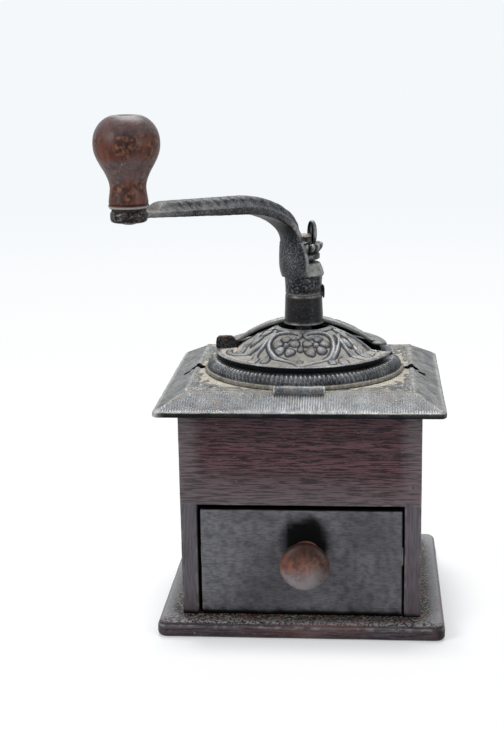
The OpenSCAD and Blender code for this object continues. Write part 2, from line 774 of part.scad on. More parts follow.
// Outlines of the arm's flange and ridge in their own plane: x outward, y up
arm_flange_outline = concat([[arm_out - arm_flange_h, z_foot]], arm_under_points,
    [[crank_r, z_arm_tip + flange_tip_h]],
    backward(bend(bend_l + arm_flange_h, bend_h + arm_flange_h, arm_flange_h)));
ridge_tip = [ridge_end, arm_under(ridge_end)];
arm_ridge_outline = concat([[arm_in, z_foot]], arm_under_points,
    [ridge_tip + [2, flange_tip_h], ridge_tip + [0, arm_tip_h - 3], ridge_tip + [-3, arm_tip_h - 1],
    ridge_tip + [-8, arm_tip_h - 0.6]],
    backward(bend(bend_u - arm_in, bend_out_h, arm_h)));

// Outline of the hub seen from the knob: x across, y up
function hub_half() = [[arm_w / 2, z_foot + hub_h], [arm_w / 2 + 0.8, z_foot + hub_h - 4],
    [hub_w / 2 - 1.1, z_foot + hub_h - 10], [hub_w / 2 - 0.2, z_foot + hub_h - 15], [hub_w / 2, z_foot + 8],
    [hub_w / 2 - 0.2, z_foot + 3], [hub_w / 2 - 1, z_foot + 1], [hub_w / 2 - 2.4, z_foot]];

// The hub wraps round the nut: a shell about the spindle's axis, narrower at its foot
module hub() intersection() {
    rotate([90, 0, 90]) linear_extrude(hub_r + 1)
        polygon(concat(hub_half(), backward([for (p = hub_half()) [-p[0], p[1]]])));
    rotate_extrude() polygon([[0, z_foot], [hub_r - 1.6, z_foot], [hub_r, z_foot + hub_foot_h],
        [hub_r, z_foot + hub_h], [0, z_foot + hub_h]]);
}

module arm_bars() {
    rotate([90, 0, 0]) translate([0, 0, -arm_w / 2]) linear_extrude(arm_w) polygon(arm_flange_outline);
    rotate([90, 0, 0]) translate([0, 0, -ridge_w / 2]) linear_extrude(ridge_w) polygon(arm_ridge_outline);
    hub();
}

module crank_arm() iron() difference() {
    union() {
        rotate([0, 0, 180 + crank_deg]) {
            difference() {
                arm_bars();
                translate([0, 0, z_foot_top]) {
                    cylinder(r = scoop_r, h = z_nut_top + 1 - z_foot_top);
                    cylinder(r = loop_reach + scoop_gap, h = z_loop_top + 1 - z_foot_top);
                }
            }
            translate([crank_r, 0, z_boss_top - boss_t]) cylinder(r = boss_r, h = boss_t);
        }
        rotate_extrude() polygon([[0, z_sleeve], [sleeve_foot_r, z_sleeve], [sleeve_top_r, z_foot],
            [foot_r - foot_chamfer / 2, z_foot], [foot_r, z_foot + foot_chamfer],
            [foot_r - foot_taper, z_foot_top], [0, z_foot_top]]);
        lug();
    }
    translate([0, 0, z_sleeve - cut]) intersection() {
        cylinder(r = spindle_r + bearing_gap, h = z_foot_top - z_sleeve + 2 * cut);
        translate([-key_w / 2 - bearing_gap, -2 * spindle_r, 0])
            cube([key_w + 2 * bearing_gap, 4 * spindle_r, z_foot_top - z_sleeve + 2 * cut]);
    }
    at_knob() translate([0, 0, z_rivet_foot - cut]) cylinder(r = rivet_r, h = boss_t + 2 * cut);
}

// The small cast lug on one side of the sleeve, which hangs beside the neck tube
module lug() {
    a = lug_deg - lug_span / 2;
    ring_sector(sleeve_foot_r - 1, lug_in + lug_wall, z_sleeve + 0.6, z_sleeve + lug_up, a, lug_span);
    ring_sector(lug_in, lug_in + lug_wall, z_sleeve - lug_drop, z_sleeve + lug_up, a, lug_span);
}

module at_knob() translate([-crank_r * cos(crank_deg), -crank_r * sin(crank_deg), 0]) children();

module knob_rivet() steel() at_knob() {
    translate([0, 0, z_rivet_foot]) cylinder(r = rivet_r, h = z_rivet_head - z_rivet_foot);
    translate([0, 0, z_rivet_foot]) rotate([180, 0, 0]) pan_head(rivet_head_r, rivet_head_h);
    translate([0, 0, z_rivet_head]) pan_head(rivet_head_r, rivet_head_h);
}

module knob_washer() steel() at_knob() difference() {
    translate([0, 0, z_knob_washer]) cylinder(r = knob_foot_d / 2 - 1.6, h = knob_washer_t);
    translate([0, 0, z_knob_washer - cut]) cylinder(r = rivet_r, h = knob_washer_t + 2 * cut);
}

// Knob outline: an S from foot to waist, a full belly, and an ellipse above it
function knob_foot_points(n) = [for (i = [0:n]) let (t = i / n)
    [knob_waist_d / 2 + (knob_foot_d - knob_waist_d) / 4 * (1 + cos(180 * t)),
     knob_foot_h + (knob_waist_z - knob_foot_h) * t]];
function knob_belly_points(n) = [for (i = [n - 1:-1:0]) let (t = i / n)
    [knob_waist_d / 2 + (knob_d - knob_waist_d) / 4 * (1 + cos(180 * pow(t, 1.2))),
     knob_belly_z - (knob_belly_z - knob_waist_z) * t]];
knob_top_rise = (knob_h - knob_belly_z) / sqrt(1 - pow(knob_top_d / knob_d, 2));
function knob_top_points(n) = [for (i = [1:n]) let (a = acos(knob_top_d / knob_d) * i / n)
    [knob_d / 2 * cos(a), knob_belly_z + knob_top_rise * sin(a)]];

module crank_knob() knob_wood() at_knob() translate([0, 0, z_knob]) difference() {
    rotate_extrude() polygon(concat([[0, 0], [knob_foot_d / 2 - knob_foot_in, 0]], knob_foot_points(5),
        knob_belly_points(10), knob_top_points(9), [[0, knob_h]]));
    translate([0, 0, -cut]) cylinder(r = rivet_r + knob_fit, h = knob_h + 2 * cut);
    translate([0, 0, knob_h - rivet_recess]) cylinder(r = rivet_head_r + 0.6, h = rivet_recess + cut);
}

// The upright oval that the thumb turns, sunk in the crown at its foot
module loop_plate() rotate([0, 0, loop_deg]) translate([0, loop_in, z_nut_top - loop_sink])
    stadium(loop_w, loop_h + loop_sink, loop_t);

module adjusting_nut() iron() difference() {
    union() {
        rotate_extrude() polygon([[0, z_nut], [nut_neck_r, z_nut], [nut_neck_r, z_nut + nut_neck_h],
            [nut_ring_r - 0.8, z_nut + nut_neck_h], [nut_ring_r, z_nut + nut_neck_h + nut_ring_h],
            [nut_ring_r - 0.8, z_nut + nut_neck_h + nut_ring_h + 0.6],
            [nut_crown_r, z_nut_top - 1.6], [nut_crown_r - 0.9, z_nut_top], [0, z_nut_top]]);
        loop_plate();
    }
    difference() {
        translate([0, 0, z_nut_top - nut_dish])
            cylinder(r1 = spindle_r + 1.4, r2 = nut_crown_r - 2.2, h = nut_dish + 0.01);
        loop_plate();
    }
    for (i = [0:nut_lobes - 1]) rotate([0, 0, (i + 0.5) * 360 / nut_lobes])
        translate([nut_crown_r + lobe_cut_out, 0, z_nut + nut_neck_h + nut_ring_h + 0.6])
            cylinder(r = lobe_cut_r, h = nut_h);
    for (y = [loop_in - cut, loop_in + loop_t - loop_panel]) rotate([0, 0, loop_deg])
        translate([0, y, z_nut_top + loop_rim])
            stadium(loop_w - 2 * loop_rim, loop_h - 2 * loop_rim, loop_panel + cut);
    translate([0, 0, z_nut - cut]) cylinder(r = spindle_r + bearing_gap, h = nut_h + loop_h + 2 * cut);
}

module in_drawer() translate([drawer_shift, 0, 0]) children();

// The finger of a drawer side that runs through the front; s is -1 or 1
module finger(s) board([s * (drawer_w / 2 - drawer_wall_t / 2) - drawer_wall_t / 2, y_front, z_finger],
    [drawer_wall_t, drawer_front_t, finger_h]);

module drawer_side(s) dark_wood() in_drawer() difference() {
    union() {
        board([s * (drawer_w / 2 - drawer_wall_t / 2) - drawer_wall_t / 2, y_wall, z_drawer],
            [drawer_wall_t, wall_l, drawer_wall_h]);
        finger(s);
    }
    drawer_nail_shapes();
}

module drawer_left() drawer_side(-1);
module drawer_right() drawer_side(1);

module drawer_nail_shapes() for (s = [-1, 1], z = drawer_nail_zs)
    translate([s * drawer_w / 2, y_drawer_back - drawer_wall_t / 2, z]) rotate([0, -90 * s, 0])
        cylinder(r = drawer_nail_r, h = drawer_nail_l);

module drawer_nails() steel() in_drawer() drawer_nail_shapes();

module drawer_back() dark_wood() in_drawer() difference() {
    board([-drawer_w / 2 + drawer_wall_t, y_drawer_back - drawer_wall_t, z_drawer],
        [drawer_w - 2 * drawer_wall_t, drawer_wall_t, drawer_wall_h]);
    drawer_nail_shapes();
}

module drawer_bottom() dark_wood() in_drawer()
    board([-drawer_w / 2 + drawer_wall_t, y_wall, z_drawer + bottom_up],
        [drawer_w - 2 * drawer_wall_t, wall_l - drawer_wall_t, drawer_bottom_t]);

module drawer_front() dark_wood() in_drawer() difference() {
    board([-drawer_w / 2, y_front, z_drawer], [drawer_w, drawer_front_t, drawer_h]);
    for (s = [-1, 1]) finger(s);
    knob_screw_shape();
}

module at_drawer_knob() translate([drawer_shift + drawer_knob_x, y_front, z_case + drawer_knob_z])
    rotate([90, 0, 0]) children();

module drawer_knob() knob_wood() at_drawer_knob() difference() {
    rotate_extrude() polygon([[0, 0], [neck_r + 1, 0], [neck_r, 2],
        [neck_r - 0.8, drawer_knob_l * 0.38], [neck_r + 1.2, drawer_knob_l * 0.52],
        [rim_r - 2.4, drawer_knob_l * 0.64], [rim_r - 0.3, drawer_knob_l * 0.72],
        [rim_r, drawer_knob_l * 0.78], [rim_r - 0.6, drawer_knob_l * 0.86],
        [rim_r - 2.6, drawer_knob_l * 0.93], [rim_r - 6, drawer_knob_l * 0.98],
        [0, drawer_knob_l]]);
    translate([0, 0, -cut]) cylinder(r = knob_screw_r, h = knob_screw_bite + cut);
}

// The knob's screw in the drawer's own frame
module knob_screw_shape() translate([drawer_knob_x, y_wall, z_case + drawer_knob_z]) rotate([90, 0, 0])
    cylinder(r = knob_screw_r, h = drawer_front_t + knob_screw_bite);

module drawer_knob_screw() steel() in_drawer() {
    knob_screw_shape();
    translate([drawer_knob_x, y_wall, z_case + drawer_knob_z]) rotate([-90, 0, 0])
        pan_head(screw_head_r, screw_head_h);
}

base_board();
left_side();
right_side();
back_board();
front_board();
base_screws();
case_nails();
top_plate();
plate_screws();
hopper_bowl();
bowl_bolts();
outer_burr();
burr_bridge();
bridge_screws();
back_dome();
dome_screws();
hopper_lid();
spindle();
inner_burr();
burr_pin();
spindle_spring();
spring_washer();
cotter_pin();
crank_arm();
adjusting_nut();
knob_rivet();
knob_washer();
crank_knob();
drawer_front();
drawer_left();
drawer_right();
drawer_back();
drawer_bottom();
drawer_nails();
drawer_knob();
drawer_knob_screw();
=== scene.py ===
"""Looks of an old box coffee mill: worn dark boards, a dusty cast iron top and a bent crank.

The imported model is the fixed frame. Every piece here stands where its CAD node stands and rides on
that node's body. Lengths in the classes are millimetres, and MM turns them into the frame's metres.
"""

from __future__ import annotations

import logging
import math
from dataclasses import dataclass
from enum import Enum
from typing import Iterable, Sequence

import bmesh
import bpy
import numpy as np
from mathutils import Matrix, Vector, kdtree, noise

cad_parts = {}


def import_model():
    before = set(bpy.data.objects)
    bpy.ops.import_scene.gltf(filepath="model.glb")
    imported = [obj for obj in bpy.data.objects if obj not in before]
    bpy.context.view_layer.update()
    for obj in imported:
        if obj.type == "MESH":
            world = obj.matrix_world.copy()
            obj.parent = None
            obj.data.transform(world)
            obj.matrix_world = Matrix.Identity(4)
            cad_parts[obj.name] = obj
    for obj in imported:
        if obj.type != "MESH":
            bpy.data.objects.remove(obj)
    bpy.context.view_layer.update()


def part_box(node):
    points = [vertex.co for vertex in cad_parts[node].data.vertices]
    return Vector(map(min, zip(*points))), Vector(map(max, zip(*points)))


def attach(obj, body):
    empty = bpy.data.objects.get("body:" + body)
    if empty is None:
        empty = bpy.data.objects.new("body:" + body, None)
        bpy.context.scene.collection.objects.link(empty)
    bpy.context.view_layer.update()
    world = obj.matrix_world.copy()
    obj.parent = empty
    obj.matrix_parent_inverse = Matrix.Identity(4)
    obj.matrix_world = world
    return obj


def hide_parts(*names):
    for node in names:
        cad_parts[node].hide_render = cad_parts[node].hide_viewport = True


LOG = logging.getLogger("coffee_mill")
MM = 0.001
Colour = tuple[float, float, float]
Point2 = tuple[float, float]


class Body(str, Enum):
    """The CAD bodies that pieces ride on."""

    CASE = "case"
    LID = "lid"
    CRANK = "crank"
    KNOB = "knob"
    NUT = "nut"
    SPINDLE = "spindle"
    DRAWER = "drawer"


class Slot(str, Enum):
    """The record's material slots."""

    WOOD = "dark_wood"
    IRON = "cast_iron"
    STEEL = "steel"
    KNOB = "knob_wood"


class Grain(Enum):
    """Noise stretch for wood whose grain runs along one axis."""

    ALONG_X = (0.03, 1.0, 1.0)
    ALONG_Y = (1.0, 0.03, 1.0)
    ALONG_Z = (1.0, 1.0, 0.03)


# Materials


class Graph:
    """A material's node tree, with short calls for the nodes that the finishes use."""

    def __init__(self, name: str) -> None:
        """Starts a material that holds a Principled shader.

        Args:
            name: The material's name.
        """
        self.material = bpy.data.materials.new(name)
        self.material.use_nodes = True
        self.tree = self.material.node_tree
        self.tree.nodes.clear()
        self.shader = self.add("ShaderNodeBsdfPrincipled")
        output = self.add("ShaderNodeOutputMaterial")
        self.link(self.shader.outputs["BSDF"], output.inputs["Surface"])
        self.place = self.add("ShaderNodeTexCoord").outputs["Object"]

    def add(self, kind: str) -> bpy.types.Node:
        """Adds a node of that kind."""
        return self.tree.nodes.new(kind)

    def link(self, source: bpy.types.NodeSocket, target: bpy.types.NodeSocket) -> None:
        """Links two sockets."""
        self.tree.links.new(source, target)

    def feed(self, target: bpy.types.NodeSocket, value) -> None:
        """Sets a socket from a number or colour, or links it to another socket.

        Args:
            target: The input socket.
            value: A number, an (r, g, b) colour or an output socket.
        """
        if isinstance(value, bpy.types.NodeSocket):
            self.link(value, target)
        elif isinstance(value, tuple):
            target.default_value = (*value, 1.0) if len(value) == 3 else value
        else:
            target.default_value = value

    def noise(
        self,
        size: float,
        stretch: Colour = (1.0, 1.0, 1.0),
        detail: float = 4.0,
        twist: float = 0.0,
    ) -> bpy.types.NodeSocket:
        """Adds a noise on Object coordinates.

        Args:
            size: The size of a blob, in millimetres.
            stretch: Scale factors for each axis.
            detail: Octaves.
            twist: Distortion.

        Returns:
            The noise's value, about 0.5 on average.
        """
        mapping = self.add("ShaderNodeMapping")
        self.link(self.place, mapping.inputs["Vector"])
        mapping.inputs["Scale"].default_value = stretch
        node = self.add("ShaderNodeTexNoise")
        self.link(mapping.outputs["Vector"], node.inputs["Vector"])
        node.inputs["Scale"].default_value = 1.0 / (size * MM)
        node.inputs["Detail"].default_value = detail
        node.inputs["Distortion"].default_value = twist
        return node.outputs["Fac"]

    def span(self, value, low: float, high: float, out_low: float = 0.0, out_high: float = 1.0):
        """Maps a value smoothly from one range to another, held at both ends.

        Args:
            value: The socket to map.
            low: The value that gives out_low.
            high: The value that gives out_high.
            out_low: The result at and below low.
            out_high: The result at and above high.

        Returns:
            The mapped value.
        """
        node = self.add("ShaderNodeMapRange")
        node.interpolation_type = "SMOOTHSTEP"
        self.feed(node.inputs["Value"], value)
        node.inputs["From Min"].default_value = low
        node.inputs["From Max"].default_value = high
        node.inputs["To Min"].default_value = out_low
        node.inputs["To Max"].default_value = out_high
        return node.outputs["Result"]

    def math(self, kind: str, a, b=0.0) -> bpy.types.NodeSocket:
        """Adds a clamped math node on two values."""
        node = self.add("ShaderNodeMath")
        node.operation = kind
        node.use_clamp = True
        self.feed(node.inputs[0], a)
        self.feed(node.inputs[1], b)
        return node.outputs[0]

    def mix(self, amount, a, b) -> bpy.types.NodeSocket:
        """Mixes two colours.

        Args:
            amount: 0 gives a and 1 gives b.
            a: A colour or a socket.
            b: A colour or a socket.

        Returns:
            The mixed colour.
        """
        node = self.add("ShaderNodeMix")
        node.data_type = "RGBA"
        self.feed(node.inputs[0], amount)
        self.feed(node.inputs[6], a)
        self.feed(node.inputs[7], b)
        return node.outputs[2]

    def attribute(self, name: str) -> bpy.types.NodeSocket:
        """Reads a float attribute of the mesh, 0 where the mesh has none."""
        node = self.add("ShaderNodeAttribute")
        node.attribute_name = name
        return node.outputs["Fac"]

    def facing_up(self) -> bpy.types.NodeSocket:
        """Gives the upward part of the surface normal."""
        split = self.add("ShaderNodeSeparateXYZ")
        self.link(self.add("ShaderNodeNewGeometry").outputs["Normal"], split.inputs[0])
        return split.outputs["Z"]

    def corners(self, reach: float) -> bpy.types.NodeSocket:
        """Finds corners and crevices.

        Args:
            reach: How far the near surfaces count, in millimetres.

        Returns:
            1 deep in a crevice and 0 in the open.
        """
        node = self.add("ShaderNodeAmbientOcclusion")
        node.samples = 8
        node.inputs["Distance"].default_value = reach * MM
        return self.math("SUBTRACT", 1.0, node.outputs["AO"])

    def bump(self, height, depth: float, strength: float = 1.0, under=None) -> bpy.types.NodeSocket:
        """Adds a bump.

        Args:
            height: The height socket, 0 to 1.
            depth: The height of 1, in millimetres.
            strength: The bump's strength.
            under: An earlier bump that this one lies on.

        Returns:
            The bent normal.
        """
        node = self.add("ShaderNodeBump")
        node.inputs["Strength"].default_value = strength
        node.inputs["Distance"].default_value = depth * MM
        self.link(height, node.inputs["Height"])
        if under is not None:
            self.link(under, node.inputs["Normal"])
        return node.outputs["Normal"]


@dataclass(frozen=True)
class CastIron:
    """Old cast iron with a rough skin, settled dust and a little rust, with painted light too: pale glints, painted
    shade in crevices and on undersides, and a dark mark of soot and painted shade in gaps.
    """

    name: str
    dark: Colour = (0.035, 0.036, 0.04)
    pale: Colour = (0.11, 0.113, 0.12)
    dust: Colour = (0.34, 0.30, 0.24)
    rust: Colour = (0.16, 0.06, 0.035)
    dusty: float = 0.5
    rusty: float = 0.1
    crevice: float = 0.0
    crevice_shade: float = 0.0
    crevice_shade_reach: float = 1.2
    shine: float = 0.2
    grain: float = 0.9
    depth: float = 0.18
    roughness: float = 0.5
    metallic: float = 0.7
    pitted: float = 0.7
    glint: float = 0.4
    bright: Colour = (0.27, 0.28, 0.29)
    edge: Colour = (0.34, 0.31, 0.26)
    under: float = 0.0

    def build(self) -> bpy.types.Material:
        """Makes the material.

        Returns:
            The finished material.
        """
        g = Graph(self.name)
        patches = g.span(g.noise(14.0, detail=5.0), 0.35, 0.68)
        speckle = g.noise(self.grain, detail=3.0)
        colour = g.mix(g.math("MULTIPLY", patches, 0.8), self.dark, self.pale)
        colour = g.mix(g.span(speckle, 0.38, 0.5, self.pitted, 0.0), colour, self.dark)
        # Painted glints: pale specks stand for small highlights on the rough skin.
        colour = g.mix(g.span(speckle, 0.52, 0.66, 0.0, self.glint), colour, self.bright)
        rust = g.math("MULTIPLY", g.span(g.noise(9.0, detail=6.0, twist=0.6), 0.56, 0.7), self.rusty)
        colour = g.mix(rust, colour, self.rust)
        lying = g.span(g.facing_up(), 0.25, 0.95)
        settled = g.math("MULTIPLY", lying, g.span(g.noise(5.0, detail=6.0), 0.38, 0.66))
        settled = g.math("MULTIPLY", settled, self.dusty)
        kept = g.math("MULTIPLY", g.attribute("dust"), g.span(g.noise(2.6, detail=5.0), 0.25, 0.6, 0.45, 1.0))
        settled = g.math("MAXIMUM", settled, kept)
        if self.crevice > 0:
            packed = g.math("MULTIPLY", g.span(g.corners(2.2), 0.25, 0.75), self.crevice)
            settled = g.math("MAXIMUM", settled, packed)
        colour = g.mix(settled, colour, self.dust)
        # Painted shade: crevices found by ambient occlusion are blackened.
        if self.crevice_shade > 0:
            black = g.math("MULTIPLY", g.span(g.corners(self.crevice_shade_reach), 0.22, 0.6), self.crevice_shade)
            colour = g.mix(black, colour, (0.004, 0.004, 0.005))
        # Painted shade: faces that point down are darkened.
        if self.under > 0:
            underside_shade = g.span(g.facing_up(), -0.75, -0.15, self.under, 0.0)
            colour = g.mix(underside_shade, colour, self.dark)
        # Pale mark of rubbed edges, which in places is a painted highlight instead.
        rim = g.math("MULTIPLY", g.attribute("wear_and_highlight"), g.span(g.noise(3.0), 0.3, 0.6, 0.3, 1.0))
        colour = g.mix(rim, colour, self.edge)
        # Dark mark of soot and painted shade: gaps, undersides, grooves and the ground beside raised relief are
        # blackened.
        soot_and_shade = g.attribute("soot_and_shade")
        colour = g.mix(soot_and_shade, colour, (0.006, 0.006, 0.007))
        g.link(colour, g.shader.inputs["Base Color"])
        rough = g.span(g.math("ADD", settled, g.math("MULTIPLY", speckle, 0.35)), 0.0, 1.0, self.roughness, 0.85)
        g.link(rough, g.shader.inputs["Roughness"])
        g.link(g.span(settled, 0.0, 0.8, self.metallic, 0.0), g.shader.inputs["Metallic"])
        g.shader.inputs["Specular IOR Level"].default_value = self.shine
        skin = g.bump(speckle, self.depth, 0.7)
        pits = g.bump(g.noise(3.2, detail=4.0), self.depth * 2.0, 0.35, skin)
        g.link(pits, g.shader.inputs["Normal"])
        return g.material


@dataclass(frozen=True)
class StainedWood:
    """Old stained wood: a fine stretched grain, a dull sheen and pale worn edges, with painted light where marked: grey
    painted sheen, painted highlights and painted shade.
    """

    name: str
    grain: Grain
    dark: Colour = (0.009, 0.004, 0.006)
    pale: Colour = (0.088, 0.042, 0.05)
    worn: Colour = (0.17, 0.145, 0.14)
    sheen_and_dust_tint: Colour = (0.085, 0.086, 0.096)
    sheen_and_dust_tinted: float = 0.0
    roughness: float = 0.42
    shine: float = 0.14
    coat: float = 0.05
    grime_shade_and_sheen: float = 0.0
    lined: float = 0.85
    streak: float = 0.07
    mottle: float = 0.0
    blotch: float = 6.5

    def build(self) -> bpy.types.Material:
        """Makes the material.

        Returns:
            The finished material.
        """
        g = Graph(self.name)
        stretch = self.grain.value
        short = tuple(max(s, self.streak) for s in stretch)
        broad = g.noise(self.blotch, stretch, detail=4.0, twist=0.3)
        fine = g.noise(1.0, short, detail=3.0)
        pores = g.noise(0.75, tuple(max(s, 0.2) for s in stretch), detail=2.0)
        colour = g.mix(g.span(broad, 0.3, 0.75, 0.35, 0.95), self.dark, self.pale)
        # Grey clouds over the stain: painted sheen of the bright surroundings, partly dust.
        sheen_cloud = g.span(g.noise(42.0, detail=3.0), 0.35, 0.7, 0.35 * self.sheen_and_dust_tinted, self.sheen_and_dust_tinted)
        colour = g.mix(sheen_cloud, colour, self.sheen_and_dust_tint)
        colour = g.mix(g.span(fine, 0.47, 0.57, 0.0, self.lined), colour, self.dark)
        if self.mottle > 0:
            colour = g.mix(g.span(g.noise(5.0, detail=7.0), 0.44, 0.64, 0.0, self.mottle), colour, self.dark)
        colour = g.mix(g.span(pores, 0.56, 0.68, 0.0, 0.2 * self.lined), colour, self.worn)
        # Grey where the haze mark is set: painted sheen and painted highlight, partly dust.
        sheen_and_dust_haze = g.math("MULTIPLY", g.attribute("haze_and_sheen"), g.span(fine, 0.4, 0.6, 0.75, 0.35))
        colour = g.mix(sheen_and_dust_haze, colour, (0.125, 0.112, 0.116))
        # Pale edges: wear, and on the base's rounded top edge a painted highlight.
        edge = g.math("MULTIPLY", g.attribute("wear_and_highlight"), g.span(g.noise(6.0, detail=5.0), 0.46, 0.66, 0.0, 0.7))
        colour = g.mix(edge, colour, self.worn)
        if self.grime_shade_and_sheen > 0:
            lying = g.math("MULTIPLY", g.span(g.facing_up(), 0.7, 0.95), self.grime_shade_and_sheen)
            near = g.math("MULTIPLY", lying, g.span(g.corners(13.0), 0.05, 0.25))
            grit = g.noise(1.3, detail=3.0)
            colour = g.mix(g.math("MULTIPLY", lying, g.span(grit, 0.42, 0.56)), colour, self.worn)
            # Painted reflection: upward faces where the haze mark is set turn pale grey.
            pale = g.math("MULTIPLY", g.math("MULTIPLY", lying, g.attribute("haze_and_sheen")), 0.75)
            colour = g.mix(pale, colour, (0.25, 0.255, 0.265))
            # Painted shade at the foot of the case, found by ambient occlusion; the crumbs below are dust.
            colour = g.mix(near, colour, (0.012, 0.009, 0.008))
            crumbs = g.math("MULTIPLY", near, g.span(grit, 0.53, 0.62))
            colour = g.mix(crumbs, colour, g.mix(g.span(g.noise(12.0), 0.5, 0.62), (0.3, 0.27, 0.23), (0.3, 0.13, 0.08)))
        scuffs = g.span(g.noise(1.9, detail=7.0), 0.69, 0.75, 0.0, 0.45)
        colour = g.mix(scuffs, colour, self.worn)
        colour = g.mix(g.attribute("chip"), colour, (0.19, 0.075, 0.06))
        # Dark mark: painted shade in the drawer's gaps and under the front board, and dark spots at feet and above the
        # drawer knob.
        colour = g.mix(g.attribute("soot_and_shade"), colour, (0.003, 0.003, 0.003))
        g.link(colour, g.shader.inputs["Base Color"])
        g.link(g.span(fine, 0.3, 0.7, self.roughness, self.roughness + 0.18), g.shader.inputs["Roughness"])
        g.shader.inputs["Specular IOR Level"].default_value = self.shine
        g.shader.inputs["Coat Weight"].default_value = self.coat
        g.shader.inputs["Coat Roughness"].default_value = 0.3
        lines = g.bump(fine, 0.14, 0.6)
        g.link(g.bump(pores, 0.05, 0.5, lines), g.shader.inputs["Normal"])
        return g.material


@dataclass(frozen=True)
class TurnedWood:
    """Varnished turned wood, red brown and glossy, darker where the varnish is gone, with a painted grey reflection
    where the haze mark is set.
    """

    name: str
    grain: Grain
    red: Colour = (0.105, 0.03, 0.017)
    dark: Colour = (0.016, 0.006, 0.005)
    haze_and_sheen: float = 0.08
    sheen_cloud: Colour = (0.07, 0.062, 0.068)

    def build(self) -> bpy.types.Material:
        """Makes the material.

        Returns:
            The finished material.
        """
        g = Graph(self.name)
        stretch = tuple(0.25 if s < 0.5 else s for s in self.grain.value)
        streaks = g.noise(3.0, stretch, detail=4.0, twist=0.3)
        blots = g.span(g.noise(13.0, detail=3.0), 0.4, 0.62)
        flecks = g.span(g.noise(2.6, detail=7.0, twist=0.4), 0.44, 0.7, 0.0, 0.75)
        colour = g.mix(g.span(streaks, 0.3, 0.75, 0.0, 0.75), self.red, self.dark)
        colour = g.mix(g.math("MULTIPLY", blots, 0.85), colour, self.dark)
        colour = g.mix(g.math("MULTIPLY", flecks, blots), colour, (0.2, 0.085, 0.045))
        hazy = g.math("MULTIPLY", g.span(g.noise(6.0, detail=5.0), 0.45, 0.72), self.haze_and_sheen)
        colour = g.mix(hazy, colour, (0.10, 0.085, 0.085))
        # Painted reflection: grey clouds and pale specks where the haze mark is set stand for a softbox's sheen.
        sheen_cloud = g.math("MULTIPLY", g.attribute("haze_and_sheen"), g.span(g.noise(4.0, detail=5.0), 0.3, 0.6, 0.55, 1.0))
        colour = g.mix(sheen_cloud, colour, self.sheen_cloud)
        speck = g.span(g.noise(0.9, detail=3.0), 0.6, 0.68, 0.0, 0.5)
        colour = g.mix(g.math("MULTIPLY", speck, g.attribute("haze_and_sheen")), colour, (0.3, 0.26, 0.24))
        colour = g.mix(g.attribute("wear_and_highlight"), colour, (0.24, 0.225, 0.225))
        # Dark mark: painted shadow in the gap at the crank knob's foot; the drawer knob's face is darker above and to
        # the right.
        colour = g.mix(g.attribute("soot_and_shade"), colour, (0.003, 0.002, 0.002))
        g.link(colour, g.shader.inputs["Base Color"])
        g.link(g.span(hazy, 0.0, 0.3, 0.4, 0.5), g.shader.inputs["Roughness"])
        g.shader.inputs["Specular IOR Level"].default_value = 0.1
        g.shader.inputs["Coat Weight"].default_value = 0.15
        g.shader.inputs["Coat Roughness"].default_value = 0.34
        g.link(g.bump(streaks, 0.06, 0.2), g.shader.inputs["Normal"])
        return g.material


@dataclass(frozen=True)
class OldSteel:
    """Tarnished steel for screws, nails, pins and the spindle."""

    name: str
    bright: Colour = (0.22, 0.21, 0.20)
    dull: Colour = (0.07, 0.055, 0.045)
    roughness: float = 0.42
    dusty: float = 0.65

    def build(self) -> bpy.types.Material:
        """Makes the material.

        Returns:
            The finished material.
        """
        g = Graph(self.name)
        stain = g.span(g.noise(3.0, detail=6.0), 0.35, 0.65)
        colour = g.mix(stain, self.bright, self.dull)
        settled = g.math("MULTIPLY", g.span(g.facing_up(), 0.5, 0.95), self.dusty)
        colour = g.mix(settled, colour, (0.36, 0.31, 0.25))
        g.link(colour, g.shader.inputs["Base Color"])
        g.link(g.span(stain, 0.0, 1.0, self.roughness, 0.7), g.shader.inputs["Roughness"])
        g.shader.inputs["Metallic"].default_value = 0.7
        g.link(g.bump(g.noise(0.8), 0.08, 0.5), g.shader.inputs["Normal"])
        return g.material


# Mesh tools


def place(
    name: str,
    bm: bmesh.types.BMesh,
    body: Body,
    slot: Slot,
    material: bpy.types.Material,
    nodes: Sequence[str] = (),
    sharp: float = 38.0,
) -> bpy.types.Object:
    """Turns a bmesh into a piece that rides on its body.

    Args:
        name: The piece's name.
        bm: The finished bmesh in metres, freed here.
        body: The body that it rides on.
        slot: The record's slot for its finish; not used.
        material: Its material.
        nodes: The CAD nodes that it stands for.
        sharp: The angle in degrees past which an edge stays sharp.

    Returns:
        The piece.
    """
    mesh = bpy.data.meshes.new(name)
    bm.to_mesh(mesh)
    bm.free()
    mesh.shade_smooth()
    mesh.set_sharp_from_angle(angle=math.radians(sharp))
    mesh.materials.append(material)
    piece = bpy.data.objects.new(name, mesh)
    bpy.context.scene.collection.objects.link(piece)
    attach(piece, body.value)
    if nodes:
        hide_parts(*nodes)
    LOG.info("piece %s: %d faces on %s", name, len(mesh.polygons), body.value)
    return piece


def read_points(mesh: bpy.types.Mesh) -> np.ndarray:
    """Gives a mesh's points as an array in millimetres."""
    flat = np.empty(len(mesh.vertices) * 3)
    mesh.vertices.foreach_get("co", flat)
    return flat.reshape(-1, 3) / MM


def write_points(mesh: bpy.types.Mesh, points: np.ndarray) -> None:
    """Sets a mesh's points from an array in millimetres."""
    mesh.vertices.foreach_set("co", (points * MM).ravel())
    mesh.update()


def mark(mesh: bpy.types.Mesh, name: str, values: np.ndarray) -> None:
    """Stores a value from 0 to 1 for each point of a mesh.

    Args:
        mesh: The mesh.
        name: The attribute's name, which a material reads.
        values: One value for each point.
    """
    attribute = mesh.attributes.new(name, "FLOAT", "POINT")
    attribute.data.foreach_set("value", np.clip(values, 0.0, 1.0).astype(np.float32))


